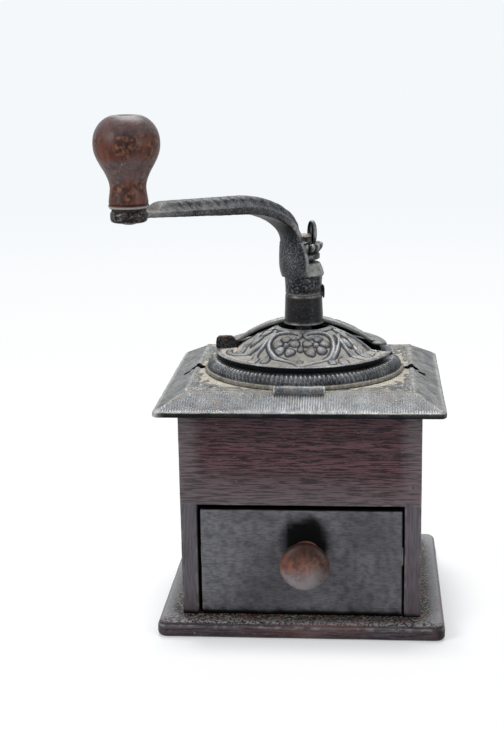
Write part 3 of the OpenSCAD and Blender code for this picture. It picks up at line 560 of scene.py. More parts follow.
def smoothstep(values: np.ndarray, low: float, high: float) -> np.ndarray:
    """Maps values smoothly from 0 at low to 1 at high."""
    t = np.clip((values - low) / (high - low), 0.0, 1.0)
    return t * t * (3 - 2 * t)


def wander(points: np.ndarray, size: float, amount: float, seed: float = 0.0) -> np.ndarray:
    """Gives a smooth random shift for each point.

    Args:
        points: The points in millimetres.
        size: The size of a bump, in millimetres.
        amount: The greatest shift, in millimetres.
        seed: An offset that gives another pattern.

    Returns:
        The shifts in millimetres.
    """
    offset = Vector((seed, seed * 1.7, -seed))
    return amount * np.array([noise.noise_vector(Vector(p) / size + offset) for p in points])


def weather(piece: bpy.types.Object, size: float, amount: float, seed: float = 0.0) -> None:
    """Makes a piece's surface uneven by moving its points a little."""
    points = read_points(piece.data)
    write_points(piece.data, points + wander(points, size, amount, seed))


def plank(low: Vector, high: Vector, bevel: float, cell: float = 7.0) -> bmesh.types.BMesh:
    """Makes a board with rounded edges and enough loops for wear.

    Args:
        low: The lowest corner, in metres.
        high: The highest corner, in metres.
        bevel: The radius of its edges, in millimetres.
        cell: The spacing of its loops, in millimetres.

    Returns:
        The board's bmesh.
    """
    bm = bmesh.new()
    bmesh.ops.create_cube(bm, size=1.0)
    bmesh.ops.scale(bm, vec=high - low, verts=bm.verts)
    bmesh.ops.translate(bm, vec=(low + high) / 2, verts=bm.verts)
    bmesh.ops.bevel(
        bm, geom=bm.edges[:], offset=bevel * MM, offset_type="OFFSET", affect="EDGES",
        segments=3, profile=0.5, material=-1, clamp_overlap=True,
    )
    for axis in range(3):
        normal = Vector((0, 0, 0))
        normal[axis] = 1.0
        length = (high[axis] - low[axis]) / MM
        near = [bevel + 0.9, bevel + 2.4]
        count = max(1, round(length / cell))
        inner = [length * i / count for i in range(1, count)]
        cuts = near + [length - d for d in near] + [c for c in inner if near[1] < c < length - near[1]]
        for cut in cuts:
            if not bevel < cut < length - bevel:
                continue
            spot = Vector(low)
            spot[axis] += cut * MM
            bmesh.ops.bisect_plane(
                bm, geom=bm.verts[:] + bm.edges[:] + bm.faces[:], dist=1e-7, plane_co=spot, plane_no=normal,
            )
    return bm


def wear_edges(piece: bpy.types.Object, low: Vector, high: Vector, reach: float = 2.6) -> None:
    """Marks how near each point of a board is to one of its edges.

    Args:
        piece: The board.
        low: Its lowest corner, in metres.
        high: Its highest corner, in metres.
        reach: How far the wear runs from an edge, in millimetres.
    """
    points = read_points(piece.data)
    gaps = np.minimum(points - np.array(low) / MM, np.array(high) / MM - points)
    second = np.sort(gaps, axis=1)[:, 1]
    mark(piece.data, "wear_and_highlight", 1.0 - smoothstep(second, 0.2, reach))


def lathe(
    profile: Sequence[Point2],
    steps: int,
    start: float = 0.0,
    span: float = 360.0,
    closed: bool = False,
) -> bmesh.types.BMesh:
    """Turns a profile about the Z axis.

    Args:
        profile: (radius, height) points in millimetres.
        steps: The number of steps around.
        start: The first angle, in degrees.
        span: The angle turned through, in degrees.
        closed: Whether the profile's last point joins its first.

    Returns:
        The turned shape in metres, with its ends filled where it isn't a full turn.
    """
    bm = bmesh.new()
    a = math.radians(start)
    points = [bm.verts.new((r * math.cos(a) * MM, r * math.sin(a) * MM, z * MM)) for r, z in profile]
    pairs = list(zip(points, points[1:])) + ([(points[-1], points[0])] if closed else [])
    edges = [bm.edges.new(pair) for pair in pairs]
    full = abs(span - 360.0) < 1e-6
    bmesh.ops.spin(
        bm, geom=points + edges, cent=(0, 0, 0), axis=(0, 0, 1), angle=math.radians(span),
        steps=steps, use_merge=full, use_duplicate=False,
    )
    bmesh.ops.remove_doubles(bm, verts=bm.verts, dist=1e-7)
    if not full:
        rims = [e for e in bm.edges if e.is_boundary]
        bmesh.ops.holes_fill(bm, edges=rims, sides=0)
    bmesh.ops.recalc_face_normals(bm, faces=bm.faces)
    return bm


def extrude_ring(
    bm: bmesh.types.BMesh, ring: list[bmesh.types.BMVert], places: Sequence[Vector]
) -> list[bmesh.types.BMVert]:
    """Extrudes a closed ring of points to new places.

    Args:
        bm: The bmesh.
        ring: The ring's points in order.
        places: Where the new points go, in the same order.

    Returns:
        The new ring in the same order.
    """
    edges = [bm.edges.get(pair) for pair in zip(ring, ring[1:] + ring[:1])]
    made = bmesh.ops.extrude_edge_only(bm, edges=edges)["geom"]
    fresh = {item for item in made if isinstance(item, bmesh.types.BMVert)}
    following = [next(e.other_vert(v) for e in v.link_edges if e.other_vert(v) in fresh) for v in ring]
    for vert, spot in zip(following, places):
        vert.co = spot
    return following


def loft(rings: Sequence[Sequence[Vector]], capped: bool = True) -> bmesh.types.BMesh:
    """Joins rings of points, each with as many points as the last, into one skin.

    Args:
        rings: The rings in order, in metres.
        capped: Whether the first and last rings are filled. If not, the last joins the first.

    Returns:
        The skin's bmesh.
    """
    bm = bmesh.new()
    ring = [bm.verts.new(p) for p in rings[0]]
    for pair in zip(ring, ring[1:] + ring[:1]):
        bm.edges.new(pair)
    if capped:
        bm.faces.new(ring)
    for places in rings[1:]:
        ring = extrude_ring(bm, ring, places)
    if capped:
        bm.faces.new(ring)
    else:
        extrude_ring(bm, ring, rings[0])
        bmesh.ops.remove_doubles(bm, verts=bm.verts, dist=1e-7)
    bmesh.ops.recalc_face_normals(bm, faces=bm.faces)
    return bm


def oblong(half_w: float, half_d: float, corner: float, side: int = 40, turn: int = 6) -> list[Point2]:
    """Gives a rounded rectangle's outline.

    Args:
        half_w: Half its width, in millimetres.
        half_d: Half its depth, in millimetres.
        corner: Its corner radius, in millimetres.
        side: Points along each straight side.
        turn: Points around each corner.

    Returns:
        The outline's points, counterclockwise.
    """
    points = []
    for quarter in range(4):
        sx, sy = ((1, 1), (-1, 1), (-1, -1), (1, -1))[quarter]
        cx, cy = sx * (half_w - corner), sy * (half_d - corner)
        angles = [math.radians(90 * quarter + 90 * i / turn) for i in range(turn + 1)]
        arc = [(cx + corner * math.cos(a), cy + corner * math.sin(a)) for a in angles]
        points += arc
        nx, ny = ((-1, 1), (-1, -1), (1, -1), (1, 1))[quarter]
        ex, ey = nx * (half_w - corner), ny * (half_d - corner)
        b = math.radians(90 * (quarter + 1))
        end = (ex + corner * math.cos(b), ey + corner * math.sin(b))
        last = arc[-1]
        points += [
            (last[0] + (end[0] - last[0]) * i / side, last[1] + (end[1] - last[1]) * i / side)
            for i in range(1, side)
        ]
    return points


def at_level(outline: Iterable[Point2], z: float) -> list[Vector]:
    """Lifts an outline in millimetres to a level, in metres."""
    return [Vector((x, y, z)) * MM for x, y in outline]


def curve_through(line: Sequence[Point2], steps: int = 8) -> np.ndarray:
    """Gives points along a smooth curve through a line's points.

    Args:
        line: The points that the curve passes.
        steps: Points between each two of them.

    Returns:
        The curve's points.
    """
    p = np.array([line[0], *line, line[-1]], float)
    t = np.linspace(0, 1, steps, endpoint=False)[:, None]
    parts = []
    for a, b, c, d in zip(p, p[1:], p[2:], p[3:]):
        parts.append(
            0.5 * (2 * b + (c - a) * t + (2 * a - 5 * b + 4 * c - d) * t**2 + (3 * b - a - 3 * c + d) * t**3)
        )
    return np.vstack([*parts, p[-1:]])


class Relief:
    """A low relief drawn on a flat sheet: at each point, the highest of its strokes and petals."""

    def __init__(self, x: np.ndarray, y: np.ndarray, grow: float = 0.0) -> None:
        """Starts with a bare sheet.

        Args:
            x: Each point's x, in millimetres.
            y: Each point's y, in millimetres.
            grow: How much wider all strokes and petals are drawn, in millimetres.
        """
        self.x = x
        self.y = y
        self.grow = grow
        self.height = np.zeros(len(x))

    def raise_to(self, heights: np.ndarray) -> None:
        """Raises the sheet to these heights where they are higher."""
        self.height = np.maximum(self.height, heights)

    def stroke(self, line: Sequence[Point2], wide: float, thin: float, height: float) -> None:
        """Draws a rounded band along a curve.

        Args:
            line: The points that the curve passes.
            wide: Half its width at the start.
            thin: Half its width at the end.
            height: Its height.
        """
        path = curve_through(line)
        near = np.full(len(self.x), 1e9)
        count = len(path) - 1
        for i, ((ax, ay), (bx, by)) in enumerate(zip(path, path[1:])):
            dx, dy = bx - ax, by - ay
            along = ((self.x - ax) * dx + (self.y - ay) * dy) / (dx * dx + dy * dy + 1e-9)
            t = np.clip(along, 0.0, 1.0)
            gap = np.hypot(self.x - ax - t * dx, self.y - ay - t * dy)
            half = self.grow + wide + (thin - wide) * (i + t) / count
            near = np.minimum(near, gap / half)
        self.raise_to(height * np.sqrt(np.clip(1 - near**2, 0, 1)))

    def petal(
        self, centre: Point2, length: float, width: float, turn: float, height: float, vein: float = 0.0
    ) -> None:
        """Draws an oval petal or leaf.

        Args:
            centre: Its middle.
            length: Half its length.
            width: Half its width.
            turn: The direction of its length, in degrees.
            height: Its height.
            vein: The depth of the groove along its middle.
        """
        a = math.radians(turn)
        length, width = length + self.grow, width + self.grow
        u = ((self.x - centre[0]) * math.cos(a) + (self.y - centre[1]) * math.sin(a)) / length
        v = ((self.y - centre[1]) * math.cos(a) - (self.x - centre[0]) * math.sin(a)) / width
        narrow = 1.0 - 0.35 * u
        rise = np.clip(1 - u**2 - (v / narrow) ** 2, 0, 1)
        crown = height * rise**0.4
        groove = vein * np.exp(-((v / 0.22) ** 2)) * np.clip(rise * 3, 0, 1)
        self.raise_to(crown - groove)

    def outline(self, wider: "Relief") -> np.ndarray:
        """Finds the ground just outside the raised shapes.

        Args:
            wider: The same drawing, drawn wider.

        Returns:
            1 on the outline and 0 elsewhere.
        """
        return smoothstep(wider.height, 0.02, 0.25) * (1.0 - smoothstep(self.height, 0.25, 0.6))


# The object


@dataclass
class WoodenCase:
    """The base board and the four boards of the case."""

    base_edge: float = 4.2
    foot_edge: float = 2.6
    board_edge: float = 0.7
    front_edge: float = 0.5

    def __post_init__(self) -> None:
        """Makes the boards' finishes."""
        self.along_x = StainedWood("case_wood_across", Grain.ALONG_X).build()
        self.along_z = StainedWood(
            "case_wood_upright", Grain.ALONG_Z, sheen_and_dust_tinted=0.75, sheen_and_dust_tint=(0.092, 0.092, 0.104), lined=0.3
        ).build()
        self.base_wood = StainedWood(
            "base_wood", Grain.ALONG_X, dark=(0.006, 0.005, 0.006), pale=(0.07, 0.032, 0.036), sheen_and_dust_tinted=0.6,
            sheen_and_dust_tint=(0.062, 0.066, 0.078), grime_shade_and_sheen=0.85, coat=0.1, shine=0.1, roughness=0.36, worn=(0.27, 0.265, 0.26),
            lined=0.6,
        ).build()

    def board(self, node: str, edge: float, material: bpy.types.Material, seed: float) -> bpy.types.Object:
        """Makes one board over its CAD node.

        Args:
            node: The CAD node.
            edge: The radius of its edges, in millimetres.
            material: Its finish.
            seed: Its own wear pattern.

        Returns:
            The board.
        """
        low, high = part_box(node)
        piece = place(
            node + "_worn", plank(low, high, edge), Body.CASE, Slot.WOOD, material, [node], sharp=50.0
        )
        wear_edges(piece, low, high, 1.5)
        weather(piece, 17.0, 0.12, seed)
        return piece

    def blacken(self, piece: bpy.types.Object) -> None:
        """Darkens a board's foot, just above the base.

        Args:
            piece: The board.
        """
        points = read_points(piece.data)
        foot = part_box("base_board")[1].z / MM
        rough = 1.2 * wander(points, 3.0, 1.0)[:, 0]
        mark(piece.data, "soot_and_shade", 1.0 - smoothstep(points[:, 2] - foot + rough, 1.4, 3.0))

    def side(self, node: str, seed: float) -> None:
        """Makes a side board, with its upper front corner cut out for the front board.

        Args:
            node: The CAD node.
            seed: Its own wear pattern.
        """
        piece = self.board(node, self.board_edge, self.along_z, seed)
        front_low, front_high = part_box("front_board")
        side_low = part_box(node)[0]
        reach = Vector((4, 4, 4)) * MM
        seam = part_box("drawer_front")[1].z + FRONT_SEAM * MM
        low = Vector((side_low.x, front_low.y, seam)) - reach
        low.z = seam
        high = Vector((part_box(node)[1].x, front_high.y - reach.y, front_high.z)) + reach
        cutter = bpy.data.objects.new("cutter", bpy.data.meshes.new("cutter"))
        bm = bmesh.new()
        bmesh.ops.create_cube(bm, size=1.0)
        bmesh.ops.scale(bm, vec=high - low, verts=bm.verts)
        bmesh.ops.translate(bm, vec=(low + high) / 2, verts=bm.verts)
        bm.to_mesh(cutter.data)
        bm.free()
        carve(piece, cutter)
        self.blacken(piece)

    def base(self) -> None:
        """Makes the base board, rounded at its corners and along its edges."""
        low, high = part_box("base_board")
        half_w, half_d, thick = high.x / MM, high.y / MM, high.z / MM
        rings = [(40.0, 0.0), (12.0, 0.0)]
        rings += [(self.foot_edge * (1 - math.sin(a)), self.foot_edge * (1 - math.cos(a)))
                  for a in np.linspace(0.0, math.pi / 2, 6)]
        rings += [(0.0, 0.5 * thick)]
        rings += [(self.base_edge * (1 - math.cos(a)), thick - self.base_edge * (1 - math.sin(a)))
                  for a in np.linspace(0.0, math.pi / 2, 8)]
        rings += [(7.0, thick), (12.0, thick), (40.0, thick)]
        bm = loft([
            at_level(oblong(half_w - inset, half_d - inset, max(6.0 - inset, 1.0), 30), z) for inset, z in rings
        ])
        piece = place("base_board_worn", bm, Body.CASE, Slot.WOOD, self.base_wood, ["base_board"], sharp=60.0)
        weather(piece, 17.0, 0.12, 3.1)
        points = read_points(piece.data)
        points = np.clip(points, (-half_w, -half_d, 0.0), (half_w, half_d, thick + 1.0))
        write_points(piece.data, points)
        x, y, z = points.T
        inset = np.minimum(half_w - np.abs(x), half_d - np.abs(y))
        arris = np.exp(-(((z - thick + 2.7) / 0.55) ** 2)) * (inset < 3.5)
        ends = smoothstep(np.abs(x), half_w - 15.0, half_w - 8.0) * (z > 0.3 * thick)
        # Painted highlight along the rounded top edge, in both marks below, and painted reflection on the upper faces
        # near the ends; the edge line also stands for wear.
        mark(piece.data, "haze_and_sheen", np.maximum(arris, ends * smoothstep(y, -half_d + 2.0, -half_d + 16.0)))
        mark(piece.data, "wear_and_highlight", 0.95 * arris)
        red = wander(np.stack([x, y, z], 1), 26.0, 1.0, 6.0)[:, 0] * (inset < 3.5)
        mark(piece.data, "chip", 0.25 * smoothstep(red, 0.05, 0.4) * (1.0 - arris))
        end = np.exp(-(((x - half_w + 3.0) / 3.0) ** 2)) * np.exp(-(((y + half_d - 1.0) / 3.0) ** 2))
        mark(piece.data, "soot_and_shade", 0.8 * end * smoothstep(thick - z, -1.0, 2.0))

    def build(self) -> None:
        """Makes all boards."""
        self.base()
        self.side("left_side", 5.7)
        self.side("right_side", 8.2)
        front = self.board("front_board", self.front_edge, self.along_x, 1.3)
        points = read_points(front.data)
        low = points[:, 2].min()
        ends = smoothstep(np.abs(points[:, 0]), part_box("front_board")[1].x / MM - 13.0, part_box("front_board")[1].x / MM - 5.0)
        # The board's foot is greyer: painted sheen, partly dust; its ends are greyer too.
        foot = 0.75 * (1.0 - smoothstep(points[:, 2] + 0.06 * points[:, 0], low + 3.0, low + 26.0))
        mark(front.data, "haze_and_sheen", np.maximum(foot, 0.85 * ends))
        # Painted shade on the board's lowest face, over the drawer's gap.
        mark(front.data, "soot_and_shade", 1.0 - smoothstep(points[:, 2] - low, 0.15, 0.5))
        self.board("back_board", self.front_edge, self.along_x, 2.9)


FRONT_SEAM = 5.2


def carve(piece: bpy.types.Object, cutter: bpy.types.Object) -> None:
    """Cuts one object out of a piece for good, and removes the cutter.

    Args:
        piece: The piece that is cut.
        cutter: The object that is taken away.
    """
    bpy.context.scene.collection.objects.link(cutter)
    modifier = piece.modifiers.new("carve", "BOOLEAN")
    modifier.operation = "DIFFERENCE"
    modifier.solver = "EXACT"
    modifier.object = cutter
    bpy.context.view_layer.update()
    done = piece.evaluated_get(bpy.context.evaluated_depsgraph_get())
    mesh = bpy.data.meshes.new_from_object(done)
    piece.modifiers.clear()
    piece.data = mesh
    bpy.data.objects.remove(cutter)


@dataclass
class Drawer:
    """The drawer's boards and its turned knob."""

    front_edge: float = 1.3
    wall_edge: float = 0.5
    steps: int = 72

    def build(self) -> None:
        """Makes the drawer's pieces."""
        # The front's grey tint stands in for its sheen, painted in, partly dust.
        front = StainedWood(
            "drawer_front_wood", Grain.ALONG_X, dark=(0.022, 0.02, 0.023), pale=(0.07, 0.064, 0.07),
            sheen_and_dust_tint=(0.14, 0.14, 0.151), sheen_and_dust_tinted=0.85, shine=0.04, coat=0.0, lined=0.3, streak=0.22,
            mottle=0.34,
        ).build()
        inner = StainedWood("drawer_wood", Grain.ALONG_Y, pale=(0.11, 0.075, 0.055)).build()
        across = StainedWood("drawer_wood_across", Grain.ALONG_X, pale=(0.11, 0.075, 0.055)).build()
        jobs = (
            ("drawer_front", self.front_edge, front),
            ("drawer_back", self.wall_edge, across),
            ("drawer_bottom", self.wall_edge, across),
        )
        for node, edge, material in jobs:
            low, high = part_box(node)
            cell = 3.2 if node == "drawer_front" else 7.0
            piece = place(
                node + "_worn", plank(low, high, edge, cell), Body.DRAWER, Slot.WOOD, material, [node], sharp=50.0
            )
            wear_edges(piece, low, high, 2.0)
            if node == "drawer_front":
                self.stain(piece)
            weather(piece, 15.0, 0.14, edge)
        for node in ("drawer_left", "drawer_right"):
            low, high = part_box(node)
            low.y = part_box("drawer_front")[1].y
            place(node + "_worn", plank(low, high, self.wall_edge), Body.DRAWER, Slot.WOOD, inner, [node], sharp=50.0)
            self.finger(node, front)
        self.knob()

    def finger(self, node: str, wood: bpy.types.Material) -> None:
        """Makes the finger of a drawer side, whose worn end shows in the front.

        Args:
            node: The side's CAD node.
            wood: Its finish.
        """
        low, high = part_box(node)
        half = Vector(((high.x - low.x) / 2, 0, 5.85 * MM))
        middle = Vector(((low.x + high.x) / 2, 0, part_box("base_board")[1].z + 39.95 * MM))
        a = middle - half
        b = middle + half
        a.y = low.y + 0.05 * MM
        b.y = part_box("drawer_front")[1].y
        piece = place(node + "_finger", plank(a, b, 0.4, 4.0), Body.DRAWER, Slot.WOOD, wood, sharp=50.0)
        wear_edges(piece, a, b, 0.9)

    def stain(self, piece: bpy.types.Object) -> None:
        """Marks painted shade along the front's foot, top edge and right end, where the drawer's gaps lie, and a dark
        patch around and above the knob.

        Args:
            piece: The drawer's front.
        """
        low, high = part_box("drawer_knob")
        points = read_points(piece.data)
        x = (points[:, 0] - (low.x + high.x) / 2 / MM) / 16.5
        z = (points[:, 2] - (low.z + high.z) / 2 / MM - 10.0) / 17.0
        lump = 0.16 * wander(points, 7.0, 1.0)[:, 0]
        low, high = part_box("drawer_front")
        rough = 1.6 * wander(points, 3.5, 1.0)[:, 0]
        foot = 1.0 - smoothstep(points[:, 2] - low.z / MM + rough, 2.0, 4.4)
        top = smoothstep(points[:, 2] - high.z / MM, -0.5, -0.1)
        right = smoothstep(points[:, 0] - high.x / MM, -1.1, -0.6)
        patch = (1.0 - smoothstep(np.hypot(x, z) + lump, 0.72, 1.12)) * (points[:, 1] < low.y / MM + 3.0)
        # Painted shade in the gaps at foot, top and right; the patch is a dark patch above the knob.
        mark(piece.data, "soot_and_shade", np.maximum.reduce([foot, top, right, patch]))

    def knob(self) -> None:
        """Makes the mushroom knob, turned about its own axis and then laid on the front."""
        low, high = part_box("drawer_knob")
        reach = (high.y - low.y) / MM
        rim = (high.x - low.x) / 2 / MM
        neck = 7.5
        profile = [
            (0.0, 0.0), (neck + 1.6, 0.0), (neck + 0.7, 1.2), (neck, 3.0), (neck - 0.7, 0.3 * reach),
            (neck - 0.4, 0.42 * reach), (neck + 1.2, 0.52 * reach), (rim - 2.6, 0.63 * reach),
            (rim - 0.7, 0.7 * reach), (rim, 0.77 * reach), (rim - 0.35, 0.84 * reach),
            (rim - 1.6, 0.9 * reach), (rim - 4.2, 0.955 * reach), (rim - 8.0, 0.985 * reach), (0.0, reach),
        ]
        bm = lathe([tuple(p) for p in curve_through(profile[1:-1], 4)] + [profile[-1]], self.steps)
        turn = Matrix.Rotation(math.radians(90), 4, "X")
        bmesh.ops.transform(bm, matrix=turn, verts=bm.verts)
        centre = Vector(((low.x + high.x) / 2, high.y, (low.z + high.z) / 2))
        bmesh.ops.translate(bm, vec=centre, verts=bm.verts)
        wood = TurnedWood(
            "drawer_knob_wood", Grain.ALONG_Y, red=(0.17, 0.062, 0.04), dark=(0.03, 0.013, 0.011), haze_and_sheen=0.25,
            sheen_cloud=(0.165, 0.145, 0.15),
        ).build()
        piece = place("drawer_knob_turned", bm, Body.DRAWER, Slot.KNOB, wood, ["drawer_knob"])
        x, y, z = read_points(piece.data).T
        x, z = x - centre.x / MM, z - centre.z / MM
        face = smoothstep(-y, -high.y / MM + 0.6 * reach, -high.y / MM + 0.75 * reach)
        patchy = z + wander(np.stack([x, y, z], 1), 6.0, 3.0)[:, 0]
        # Painted sheen: the knob's lower face greys where the haze mark is set.
        mark(piece.data, "haze_and_sheen", face * smoothstep(-patchy, -3.0, 9.0))
        mark(piece.data, "wear_and_highlight", 0.5 * np.exp(-(((high.y / MM - y - 5.2) / 0.7) ** 2)))
        # Darker on the upper and right part of the face.
        above = np.maximum(smoothstep(patchy, 2.0, 11.0), 0.6 * smoothstep(x - 0.25 * z, 4.0, 13.0))
        mark(piece.data, "soot_and_shade", 0.75 * face * above)
        weather(piece, 9.0, 0.1)


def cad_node(name: str) -> bpy.types.Object:
    """Gives a CAD node's object by name."""
    return bpy.data.objects[name]


@dataclass
class IronTop:
    """The cast top plate, its relief, its rope moulding and the pad at its front."""

    flat_w: float = 142.0
    flat_d: float = 134.0
    mouth: float = 49.5
    rope_foot: float = 64.0
    ribs: int = 128
    cell: float = 0.62
    reed_pitch: float = 1.55

    def __post_init__(self) -> None:
        """Reads the plate's levels from the frame."""
        low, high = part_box("top_plate")
        self.low, self.high = low.z / MM, high.z / MM
        self.half_w, self.half_d = high.x / MM, high.y / MM
        self.lip = self.low + 3.2
        self.flat = self.low + 11.7
        self.iron = CastIron(
            "plate_iron", dark=(0.04, 0.043, 0.048), pale=(0.15, 0.158, 0.17), dusty=0.3, crevice=0.5,
            dust=(0.42, 0.385, 0.32), rusty=0.25, rust=(0.15, 0.085, 0.06), roughness=0.4, crevice_shade=0.5,
            crevice_shade_reach=0.8, depth=0.2, edge=(0.46, 0.45, 0.43),
        ).build()
        # A lighter copy of the plate iron for the front slope: painted sheen of the top light.
        self.slope_iron_painted_sheen = CastIron(
            "slope_iron_painted_sheen", dark=(0.10, 0.106, 0.115), pale=(0.27, 0.28, 0.3), dusty=0.2, crevice_shade=0.6, crevice_shade_reach=0.6,
            dust=(0.42, 0.4, 0.36), rusty=0.3, rust=(0.2, 0.12, 0.09), roughness=0.36, depth=0.12, pitted=0.5,
            glint=0.2, edge=(0.6, 0.62, 0.64),
        ).build()
        self.rope_iron = CastIron(
            "rope_iron", dark=(0.02, 0.021, 0.024), pale=(0.12, 0.124, 0.13), dusty=0.08, crevice_shade=0.8,
            rusty=0.04, roughness=0.34, shine=0.12, glint=0.3, edge=(0.34, 0.345, 0.35), dust=(0.3, 0.27, 0.22),
        ).build()

    def body(self) -> None:
        """Makes the plate from its lip up over the slope to the mouth, and back underneath."""
        w, d = self.half_w, self.half_d
        fw, fd = self.flat_w / 2, self.flat_d / 2
        outline = oblong(w, d, 4.0)
        mouth = [(self.mouth * x / math.hypot(x, y), self.mouth * y / math.hypot(x, y)) for x, y in outline]
        under = self.flat - 3.2
        levels = [
            (oblong(w - 0.5, d - 0.5, 3.5), self.low), (outline, self.low + 0.5), (outline, self.lip - 0.6),
            (oblong(w - 0.5, d - 0.5, 3.6), self.lip), (oblong(w - 1.6, d - 1.6, 3.2), self.lip + 0.7),
        ]
        for i in range(1, 10):
            t = i / 10
            x, y = w - 1.6 + (fw - w + 1.6) * t, d - 1.6 + (fd - d + 1.6) * t
            levels.append((oblong(x, y, 3.2 - 2.2 * t), self.lip + 0.7 + (self.flat - self.lip - 0.7) * t))
        levels += [
            (oblong(fw, fd, 1.0), self.flat), (oblong(fw - 1.5, fd - 1.5, 1.0), self.flat + 0.05),
            (mouth, self.flat + 0.05), (mouth, under), (oblong(63.0, 60.0, 2.0), under),
            (oblong(63.0, 60.0, 2.0), self.low),
        ]
        bm = loft([at_level(points, z) for points, z in levels], capped=False)
        piece = place("top_plate_cast", bm, Body.CASE, Slot.IRON, self.iron, ["top_plate"], sharp=32.0)
        points = read_points(piece.data)
        edge = np.maximum(np.abs(points[:, 0]) - w + 3.5, np.abs(points[:, 1]) - d + 3.5)
        shift = wander(points, 6.0, 0.22) * smoothstep(edge, 0.0, 3.0)[:, None]
        shift += wander(points, 25.0, 0.15, 4.0)
        shift[:, 2] *= (points[:, 2] > self.low + 1.0)
        write_points(piece.data, points + shift)
        self.carve_slots(piece)
        points = read_points(piece.data)
        x, y, z = points.T
        outside = np.maximum(np.abs(x) - w, np.abs(y) - d)
        face = smoothstep(outside, -1.5, -0.7) * (1 - smoothstep(z, self.lip - 0.7, self.lip - 0.1))
        corner = np.exp(-(np.hypot(x + w - 1.5, y + d - 1.5) / 3.2) ** 2)
        hole = (np.hypot(np.abs(x) - 69.0, y) < 4.75) & (z < self.flat + 0.3)
        hole |= (np.abs(np.abs(x) - 75.6) < 2.2) & (np.abs(y + 6.2) < 2.7)
        reeded = smoothstep(-y, fd - 0.5, fd + 0.8) * (np.abs(x) - fw < -y - fd) * (z > self.lip + 0.2)
        # Painted shade in the screw recesses and notches; the lip's face and the reeds' feet are darkened too.
        mark(piece.data, "soot_and_shade", np.maximum.reduce([face * (1 - corner), hole.astype(float), 0.25 * reeded]))
        edge = np.exp(-((z - self.lip - 0.4) / 0.6) ** 2)
        mitre = np.exp(-(((np.abs(x) - fw) - (np.abs(y) - fd)) / 1.1) ** 2) * (np.abs(x) > fw - 1.0)
        mark(piece.data, "wear_and_highlight", np.maximum.reduce([0.8 * edge, 0.4 * mitre * (z > self.lip), corner]))

    def carve_slots(self, piece: bpy.types.Object) -> None:
        """Cuts the screw recesses and the small notches beside them.

        Args:
            piece: The plate's body.
        """
        for side in (-1, 1):
            cutter = bpy.data.objects.new("cutter", bpy.data.meshes.new("cutter"))
            tool = lathe([(0.0, -6.5), (4.7, -6.5), (4.7, 1.5), (0.0, 1.5)], 40)
            bmesh.ops.translate(tool, vec=Vector((side * 69.0, 0, self.flat)) * MM, verts=tool.verts)
            block = bmesh.ops.create_cube(tool, size=1.0)["verts"]
            bmesh.ops.scale(tool, vec=Vector((4.2, 5.2, 6.0)) * MM, verts=block)
            bmesh.ops.translate(tool, vec=Vector((side * 75.6, -6.2, self.flat - 1.6)) * MM, verts=block)
            tool.to_mesh(cutter.data)
            tool.free()
            carve(piece, cutter)

    def sheet(self) -> None:
        """Makes the relief that covers the raised flat outside the rope moulding."""
        fw, fd = self.flat_w / 2, self.flat_d / 2
        bm = bmesh.new()
        columns, rows = round(self.flat_w / self.cell), round(self.flat_d / self.cell)
        bmesh.ops.create_grid(bm, x_segments=columns, y_segments=rows, size=1.0)
        bmesh.ops.scale(bm, vec=(fw * MM, fd * MM, 1.0), verts=bm.verts)
        hidden = [v for v in bm.verts if math.hypot(v.co.x, v.co.y) < (self.rope_foot - 1.5) * MM]
        recess = 69.0 * MM
        hidden += [v for v in bm.verts if math.hypot(abs(v.co.x) - recess, v.co.y) < 4.9 * MM]
        bmesh.ops.delete(bm, geom=list(set(hidden)), context="VERTS")
        piece = place("plate_relief", bm, Body.CASE, Slot.IRON, self.iron, sharp=180.0)
        points = read_points(piece.data)
        x, y = np.abs(points[:, 0]), np.abs(points[:, 1])
        relief = Relief(x, y)
        self.draw_corner(relief)
        height = relief.height + 0.1 * wander(points, 3.0, 1.0)[:, 2]
        border = 1.25 * np.sqrt(np.clip(1 - ((x - fw + 1.9) / 1.9) ** 2, 0, 1)) * smoothstep(fd - y, 0.2, 3.0)
        border = np.maximum(border, 0.7 * np.sqrt(np.clip(1 - ((y - fd + 1.2) / 1.2) ** 2, 0, 1)))
        wider = Relief(x, y, 0.7)
        self.draw_corner(wider)
        dust = 1.0 - smoothstep(np.maximum(relief.height, border), 0.15, 0.8)
        ring = np.exp(-((np.hypot(x, y) - self.rope_foot) / 3.0) ** 2)
        rim = np.minimum(smoothstep(fw - x, 0.0, 0.8), smoothstep(fd - y, 0.0, 0.8))
        points[:, 2] = self.flat + 0.12 + np.maximum(height, border) * rim - 0.35 * (1.0 - rim)
        write_points(piece.data, points)
        ring *= 0.75 + 0.6 * wander(points, 4.0, 1.0, 2.0)[:, 0]
        mark(piece.data, "dust", np.maximum(0.85 * dust, ring))
        mark(piece.data, "wear_and_highlight", 0.3 * smoothstep(border, 0.5, 1.0))
        # Painted shade, partly soot, on the ground just outside the raised leaves.
        mark(piece.data, "soot_and_shade", 0.6 * relief.outline(wider) * (border < 0.1))

